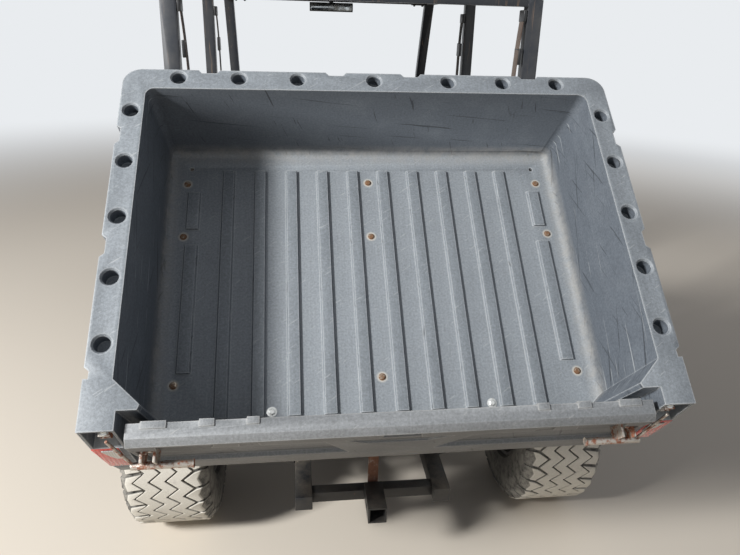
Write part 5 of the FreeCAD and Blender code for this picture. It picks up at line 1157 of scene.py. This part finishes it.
mesh_tall = GRILLE_SPAN_Z[1] - GRILLE_SPAN_Z[0]
columns, rows = int(2 * GRILLE_HALF_X / MESH_PITCH), int(mesh_tall / MESH_PITCH)
stone_mesh = moulded_grid([[(GRILLE_HALF_X * (2 * column / columns - 1), GRILLE_MESH_Y,
                             GRILLE_SPAN_Z[0] + mesh_tall * row / rows) for column in range(columns + 1)]
                           for row in range(rows + 1)])
wires = stone_mesh.modifiers.new("wires", "WIREFRAME")
wires.thickness = MESH_WIRE
alone(stone_mesh)
bpy.ops.object.modifier_apply(modifier=wires.name)
fitted(stone_mesh, "grille_stone_mesh", frame_coat, "chassis", "frame_paint")


# Each headlamp is a clear polycarbonate lens over a bright bowl in a dark housing, with a bulb cap.
LAMP_FACE = Matrix.Translation((0, 2.0944, 0.7605)) @ Matrix.Rotation(math.radians(12.1), 4, "X")
LAMP_MIDDLE_X = 0.570
LAMP_RIM = 0.005
LAMP_DEPTH = 0.029
BOWL_PLACES_X = (0.519, 0.621)
BOWL_RADIUS = 0.031
BOWL_FRONT = -0.006
BOWL_FLUTE_MM = 13.85

lamp_housing = dressed("headlamps", trim, 0.006, segments=3)
lamp_ahead = (LAMP_FACE @ Vector((0, 1, 0, 0))).to_3d()
alone(lamp_housing)
bpy.ops.object.mode_set(mode="EDIT")
bpy.ops.mesh.select_all(action="DESELECT")
mesh = bmesh.from_edit_mesh(lamp_housing.data)
for face in mesh.faces:
    face.select = face.normal.dot(lamp_ahead) > 0.97 and face.calc_area() > 0.002
bmesh.update_edit_mesh(lamp_housing.data)
bpy.ops.mesh.inset(thickness=LAMP_RIM)
bpy.ops.mesh.extrude_region_move(TRANSFORM_OT_translate={"value": -LAMP_DEPTH * lamp_ahead})
bpy.ops.object.mode_set(mode="OBJECT")
bowl_silver, tree, shader = new_material("bowl_polycarbonate_metallised", Metallic=1.0)
spot = add(tree, "ShaderNodeTexCoord").outputs["Object"]
flutes = add(tree, "ShaderNodeTexWave", {"Vector": spot, "Scale": 1000 * WAVE_BAND / BOWL_FLUTE_MM},
             bands_direction="X").outputs["Fac"]
tint = add(tree, "ShaderNodeMix", {0: flutes, 6: "#b9bcbe", 7: "#dfe2e4"}, data_type="RGBA")
rough = add(tree, "ShaderNodeMapRange", {"Value": flutes, "To Min": 0.12, "To Max": 0.3})
bump = add(tree, "ShaderNodeBump", {"Height": flutes, "Strength": 0.4, "Distance": 0.001})
plugged(tree, shader, Base_Color=tint, Roughness=rough, Normal=bump)
bowl = turned([(BOWL_FRONT, BOWL_RADIUS), (BOWL_FRONT, BOWL_RADIUS - 0.002), (BOWL_FRONT - 0.010, 0.025),
               (BOWL_FRONT - 0.019, 0.015), (BOWL_FRONT - 0.020, 0.008), (BOWL_FRONT - 0.008, 0.0075),
               (BOWL_FRONT - 0.005, 0.004), (BOWL_FRONT - 0.005, 0.0), (BOWL_FRONT - 0.024, 0.0),
               (BOWL_FRONT - 0.024, BOWL_RADIUS)], steps=32, closed=True)
eased(bowl, 0, smooth=40)
bowl_turn = Matrix.Rotation(math.pi / 2, 4, "Z")
bowls = spread(bowl, [LAMP_FACE @ Matrix.Translation((side * x, 0, 0)) @ bowl_turn
                      for side in (-1, 1) for x in BOWL_PLACES_X])
fitted(bowls, "headlamp_bowls", bowl_silver, "chassis", "clear_lens")


# A clear polycarbonate lens, thin and slightly domed, closes the front of each headlamp.
LENS_HALF_X = 0.112
LENS_HALF_Z = 0.035
LENS_DOME = 0.0021
LENS_BACK = 0.0035
LENS_THICK = 0.002


def lens_point(across, along):
    """A point of the lens on the headlamp's own face, from its shares of the half width and height."""
    dome = LENS_DOME * (1 - across ** 4) * (1 - along ** 4)
    return LAMP_MIDDLE_X + LENS_HALF_X * across, dome - LENS_BACK, LENS_HALF_Z * along


clear_lens, tree, shader = new_material("headlamp_polycarbonate_clear", IOR=1.58, Transmission_Weight=0.92)
spot = add(tree, "ShaderNodeTexCoord").outputs["Object"]
haze = add(tree, "ShaderNodeTexNoise", {"Vector": spot, "Scale": 45.0, "Detail": 6.0})
haze = add(tree, "ShaderNodeMapRange", {"Value": haze, "From Min": 0.4, "From Max": 0.75})
tint = add(tree, "ShaderNodeMix", {0: haze, 6: "#f4f6f7", 7: "#cfc9bf"}, data_type="RGBA")
rough = add(tree, "ShaderNodeMapRange", {"Value": haze, "To Min": 0.04, "To Max": 0.25})
plugged(tree, shader, Base_Color=tint, Roughness=rough)
lens = moulded_grid([[lens_point(across / 8, along / 4) for across in range(-8, 9)]
                     for along in range(-4, 5)])
lens = eased(thickened(lens, LENS_THICK), 0, smooth=50)
lenses = spread(lens, [LAMP_FACE, Matrix.Diagonal((-1, 1, 1, 1)) @ LAMP_FACE])
fitted(lenses, "headlamp_lenses", clear_lens, "chassis", "clear_lens")


# Flares of black polypropylene follow the edge of each front wheel arch, screwed to the fender.
FLARE_TURN = (8.5, 171.0)
FLARE_SECTION = ((0.7752, 0.434), (0.788, 0.430), (0.800, 0.419), (0.806, 0.408), (0.8065, 0.4005))
FLARE_THICK = 0.003
FLARE_STEPS = 36
FLARE_SCREWS = 7
FLARE_SCREW_X = 0.7880
FLARE_SCREW_RADIUS = 0.4275
FLARE_SCREW_IN = 8
FLARE_SCREW_LEAN = math.radians(70)


def round_arch(x, radius, degrees):
    """A place on the front wheel's arch, turned up from the front."""
    turn = math.radians(degrees)
    return Vector((x, FRONT_AXLE_Y + radius * math.cos(turn), AXLE_Z + radius * math.sin(turn)))


flare_run = FLARE_TURN[1] - FLARE_TURN[0]
flare = moulded_grid([[round_arch(x, radius, FLARE_TURN[0] + flare_run * step / FLARE_STEPS)
                       for x, radius in FLARE_SECTION] for step in range(FLARE_STEPS + 1)])
eased(thickened(flare, FLARE_THICK), 0.0008, sharp=60, smooth=50)
flares = spread(flare, [Matrix.Identity(4), Matrix.Diagonal((-1, 1, 1, 1))])
fitted(flares, "front_fender_flares", cab_polypropylene, "chassis", "black_plastic")
flare_screws = []
for number in range(FLARE_SCREWS):
    degrees = FLARE_TURN[0] + FLARE_SCREW_IN + (flare_run - 2 * FLARE_SCREW_IN) * number / (FLARE_SCREWS - 1)
    along_arch = Vector((0, math.sin(math.radians(degrees)), -math.cos(math.radians(degrees))))
    for side in (-1, 1):
        flare_screws.append(Matrix.Translation(round_arch(side * FLARE_SCREW_X, FLARE_SCREW_RADIUS, degrees))
                            @ Matrix.Rotation(side * FLARE_SCREW_LEAN, 4, along_arch))
fitted(spread(knob(0.0055, 0.004, 16, crown=0.4), flare_screws), "front_flare_screws", bolt_steel, "chassis",
       "zinc_steel")


# The bumper guard is welded steel tube with a pressed skid plate below, all powder coated.
dressed("front_bumper", frame_coat, 0.0015, sharp=50, smooth=50)


# Gearboxes, engine and knuckles are sand cast aluminium: a pebbled grey skin, stained with oil and dust
# in the hollows and bright where a spanner slipped.
def cast_metal(name, colour, stain, bright, sand_mm=1.6):
    """Sand cast aluminium: pebbled skin, brown stains, a few bright scrapes."""
    material, tree, shader = new_material(name)
    spot = add(tree, "ShaderNodeTexCoord").outputs["Object"]
    sand = add(tree, "ShaderNodeTexNoise", {"Vector": spot, "Scale": 1000 / sand_mm / 2, "Detail": 3.0})
    oil = add(tree, "ShaderNodeTexNoise", {"Vector": spot, "Scale": 16.0, "Detail": 8.0, "Roughness": 0.7})
    oil = add(tree, "ShaderNodeMapRange", {"Value": oil, "From Min": 0.42, "From Max": 0.66, "To Max": 0.85})
    tint = add(tree, "ShaderNodeMix", {0: oil, 6: colour, 7: stain}, data_type="RGBA")
    scrape = add(tree, "ShaderNodeTexNoise", {"Vector": spot, "Scale": 70.0, "Detail": 4.0})
    scrape = add(tree, "ShaderNodeMapRange", {"Value": scrape, "From Min": 0.68, "From Max": 0.72,
                 "To Max": 0.7})
    tint = add(tree, "ShaderNodeMix", {0: scrape, 6: tint, 7: bright}, data_type="RGBA")
    metal = add(tree, "ShaderNodeMapRange", {"Value": oil, "To Min": 0.75, "To Max": 0.1})
    rough = add(tree, "ShaderNodeMapRange", {"Value": oil, "To Min": 0.5, "To Max": 0.85})
    bump = add(tree, "ShaderNodeBump", {"Height": sand, "Strength": 0.6, "Distance": sand_mm / 3000})
    plugged(tree, shader, Base_Color=tint, Metallic=metal, Roughness=rough, Normal=bump)
    return material


cast_aluminium = cast_metal("gearbox_aluminium_cast", "#8a8c8d", "#5f564b", "#b9bbbb")
dressed("engine_and_gearboxes", cast_aluminium, 0.010, segments=3)
for node in ("knuckles_rear", "knuckle_front_left", "knuckle_front_right"):
    dressed(node, cast_aluminium, 0.004)


# Cooling fins, cast with the block, and the bolts of its covers stand on the engine's two sides.
ENGINE_HALF_X = 0.190
ENGINE_MIDDLE_Y = -1.060
FINS = 8
FIN_LOW_Z = 0.420
FIN_PITCH = 0.022
FIN_SIZE = (0.007, 0.200, 0.004)
COVER_BOLTS_Y = (-1.165, -0.955)
COVER_BOLTS_Z = (0.325, 0.390)

fin_x = ENGINE_HALF_X + FIN_SIZE[0] / 2 - 0.001
fins = spread(eased(box(FIN_SIZE), 0.0012),
              [Matrix.Translation((side * fin_x, ENGINE_MIDDLE_Y, FIN_LOW_Z + number * FIN_PITCH))
               for side in (-1, 1) for number in range(FINS)])
cover_bolts = spread(knob(0.007, 0.006, 6, foot=0.003),
                     [Matrix.Translation((side * ENGINE_HALF_X, y, z))
                      @ Matrix.Rotation(side * math.pi / 2, 4, "Y")
                      for side in (-1, 1) for y in COVER_BOLTS_Y for z in COVER_BOLTS_Z])
fitted(joined(fins, cover_bolts), "engine_fins", cast_aluminium, "chassis", "engine_cast")


# Suspension arms are welded tube under black powder coat; each shock absorber is a plated rod and a
# body inside a coil spring of 9 mm wire, painted dark grey.
SHOCK_FOOT = Vector((0.490, -0.052, 0.292))
SHOCK_TOP_X = {FRONT_AXLE_Y: 0.299, REAR_AXLE_Y: 0.379}
SHOCK_TOP_Y = 0.044
SHOCK_TOP_Z = 0.668
SPRING_START = 0.090
SPRING_END = 0.040
COIL_RADIUS = 0.0262
WIRE_RADIUS = 0.0042
COIL_TURNS = 9
DAMPER_RADIUS = 0.014
SEAT_RADIUS = 0.0305
SLEEVE_RADIUS = 0.017
ROD_RADIUS = 0.0075
EYE_WIDE = 0.034

dressed("suspension_arms", frame_coat, 0.0015, sharp=50, smooth=50)
plated_steel = rusted_steel("shaft_steel_zinc_plated", "#a3a5a6", "#8d8377", "#6b6258", share=0.2)
spring_paint = powder_coat("spring_steel_painted", "#33363a", "#857b6c", dusty=0.5)
shock_parts, springs = [], []
for axle_y in sorted(SHOCK_TOP_X):
    foot = SHOCK_FOOT + Vector((0, axle_y, 0))
    top = Vector((SHOCK_TOP_X[axle_y], axle_y + SHOCK_TOP_Y, SHOCK_TOP_Z))
    run = top - foot
    stand = Matrix.Translation(foot) @ run.to_track_quat("Z", "Y").to_matrix().to_4x4()
    spring_top = run.length - SPRING_END
    middle = (SPRING_START + spring_top) / 2
    damper = turned([(0.0, 0.0), (0.0, DAMPER_RADIUS), (SPRING_START - 0.004, DAMPER_RADIUS),
                     (SPRING_START - 0.004, SEAT_RADIUS), (SPRING_START + 0.002, SEAT_RADIUS),
                     (SPRING_START + 0.004, SLEEVE_RADIUS), (middle, SLEEVE_RADIUS), (middle, ROD_RADIUS),
                     (spring_top - 0.004, ROD_RADIUS), (spring_top - 0.002, SEAT_RADIUS),
                     (spring_top + 0.004, SEAT_RADIUS), (spring_top + 0.006, DAMPER_RADIUS),
                     (run.length, DAMPER_RADIUS), (run.length, 0.0)], steps=20)
    damper.data.transform(Matrix.Rotation(-math.pi / 2, 4, "Y"))
    eased(damper, 0, smooth=40)
    bpy.ops.object.select_all(action="DESELECT")
    bpy.ops.mesh.primitive_circle_add(vertices=8, radius=WIRE_RADIUS, rotation=(math.pi / 2, 0, 0),
                                      location=(COIL_RADIUS, 0, SPRING_START + 0.004))
    coil = bpy.context.object
    bpy.ops.object.transform_apply(location=True, rotation=True, scale=False)
    winding = coil.modifiers.new("wound", "SCREW")
    winding.steps = winding.render_steps = 20
    winding.iterations = COIL_TURNS
    winding.screw_offset = (spring_top - SPRING_START - 0.010) / COIL_TURNS
    winding.axis = "Z"
    bpy.ops.object.modifier_apply(modifier=winding.name)
    bpy.ops.object.mode_set(mode="EDIT")
    bpy.ops.mesh.select_all(action="SELECT")
    bpy.ops.mesh.fill_holes(sides=8)
    bpy.ops.mesh.normals_make_consistent(inside=False)
    bpy.ops.object.mode_set(mode="OBJECT")
    eased(coil, 0, smooth=60)
    ends = []
    for place, radius in ((top - Vector((0.006, 0, 0)), 0.015), (foot - Vector((0, 0, 0.013)), 0.020)):
        bpy.ops.object.select_all(action="DESELECT")
        bpy.ops.mesh.primitive_cylinder_add(vertices=24, radius=radius, depth=EYE_WIDE, location=place,
                                            rotation=(math.pi / 2, 0, 0))
        bpy.ops.object.transform_apply(location=True, rotation=True, scale=False)
        ends.append(eased(bpy.context.object, 0.002))
    for side in (-1, 1):
        mirrored = Matrix.Diagonal((side, 1, 1, 1))
        shock_parts += [again(damper, mirrored @ stand)] + [again(end, mirrored) for end in ends]
        springs.append(again(coil, mirrored @ stand))
    for pattern in [damper, coil] + ends:
        bpy.data.objects.remove(pattern)
fitted(joined(*shock_parts), "shock_absorber_bodies", plated_steel, "chassis", "zinc_steel",
       "shock_absorbers")
fitted(joined(*springs), "shock_absorber_springs", spring_paint, "chassis", "frame_paint", "shock_absorbers")


# Half shafts: a steel bar with a pleated rubber boot at each end, its wide end drawn out to a collar.
SHAFT_RADIUS = 0.014
BOOT_RADIUS = 0.0375
BOOT_PLEATS = 4
SHAFT_ENDS = {FRONT_AXLE_Y: (0.150, 0.565), REAR_AXLE_Y: (0.150, 0.591)}
BOOT_START = 0.293
COLLAR_WIDE = 0.024
PLEATS_START = 0.026
PLEATS_LONG = 0.056
BOOT_LONG = 0.0835

boot_rubber, tree, shader = new_material("boot_rubber_moulded", IOR=1.52)
spot = add(tree, "ShaderNodeTexCoord").outputs["Object"]
film = add(tree, "ShaderNodeTexNoise", {"Vector": spot, "Scale": 40.0, "Detail": 7.0})
film = add(tree, "ShaderNodeMapRange", {"Value": film, "From Min": 0.4, "From Max": 0.7, "To Max": 0.6})
tint = add(tree, "ShaderNodeMix", {0: film, 6: "#1d1d1e", 7: "#6d655a"}, data_type="RGBA")
rough = add(tree, "ShaderNodeMapRange", {"Value": film, "To Min": 0.55, "To Max": 0.9})
plugged(tree, shader, Base_Color=tint, Roughness=rough)
boots, bars = [], []
for axle_y, (inner, outer) in sorted(SHAFT_ENDS.items()):
    for start, sign in ((BOOT_START, 1), (outer, -1)):
        boot = [(0.0, SHAFT_RADIUS), (0.0, BOOT_RADIUS), (COLLAR_WIDE, BOOT_RADIUS)]
        for pleat in range(BOOT_PLEATS):
            peak = BOOT_RADIUS + (SHAFT_RADIUS + 0.004 - BOOT_RADIUS) * (pleat + 0.5) / BOOT_PLEATS
            for place, radius in ((pleat + 0.1, peak * 0.80), (pleat + 0.6, peak)):
                boot.append((PLEATS_START + PLEATS_LONG * place / BOOT_PLEATS, radius))
        boot += [(BOOT_LONG, SHAFT_RADIUS + 0.002), (BOOT_LONG, SHAFT_RADIUS)]
        boots.append(turned([(start + sign * x, radius) for x, radius in boot], steps=28, closed=True))
    bar_radius = SHAFT_RADIUS - 0.0005
    bars.append(turned([(inner, 0.0), (inner, bar_radius), (outer, bar_radius), (outer, 0.0)], steps=16))
    both_sides = [Matrix.Translation((0, axle_y, AXLE_Z)) @ Matrix.Diagonal((side, 1, 1, 1))
                  for side in (-1, 1)]
    boots[-2:] = [spread(eased(boot, 0, smooth=50), both_sides) for boot in boots[-2:]]
    bars[-1] = spread(eased(bars[-1], 0, smooth=50), both_sides)
fitted(joined(*boots), "half_shaft_boots", boot_rubber, "chassis", "grip_rubber", "half_shafts")
fitted(joined(*bars), "half_shaft_bars", plated_steel, "chassis", "bare_steel", "half_shafts")


# Steering column, tie rods and lift rod are ground and zinc plated bar; the exhaust is pressed steel sheet
# that the heat has rusted all over.
for node in ("steering_column", "tie_rods", "strut_rod"):
    dressed(node, plated_steel, 0.001, sharp=50, smooth=50)
exhaust_steel = rusted_steel("exhaust_steel_rusted", "#8a847b", "#7d5540", "#54392c", share=0.9, patch_mm=30)
dressed("muffler", exhaust_steel, 0.003, sharp=50, smooth=50)
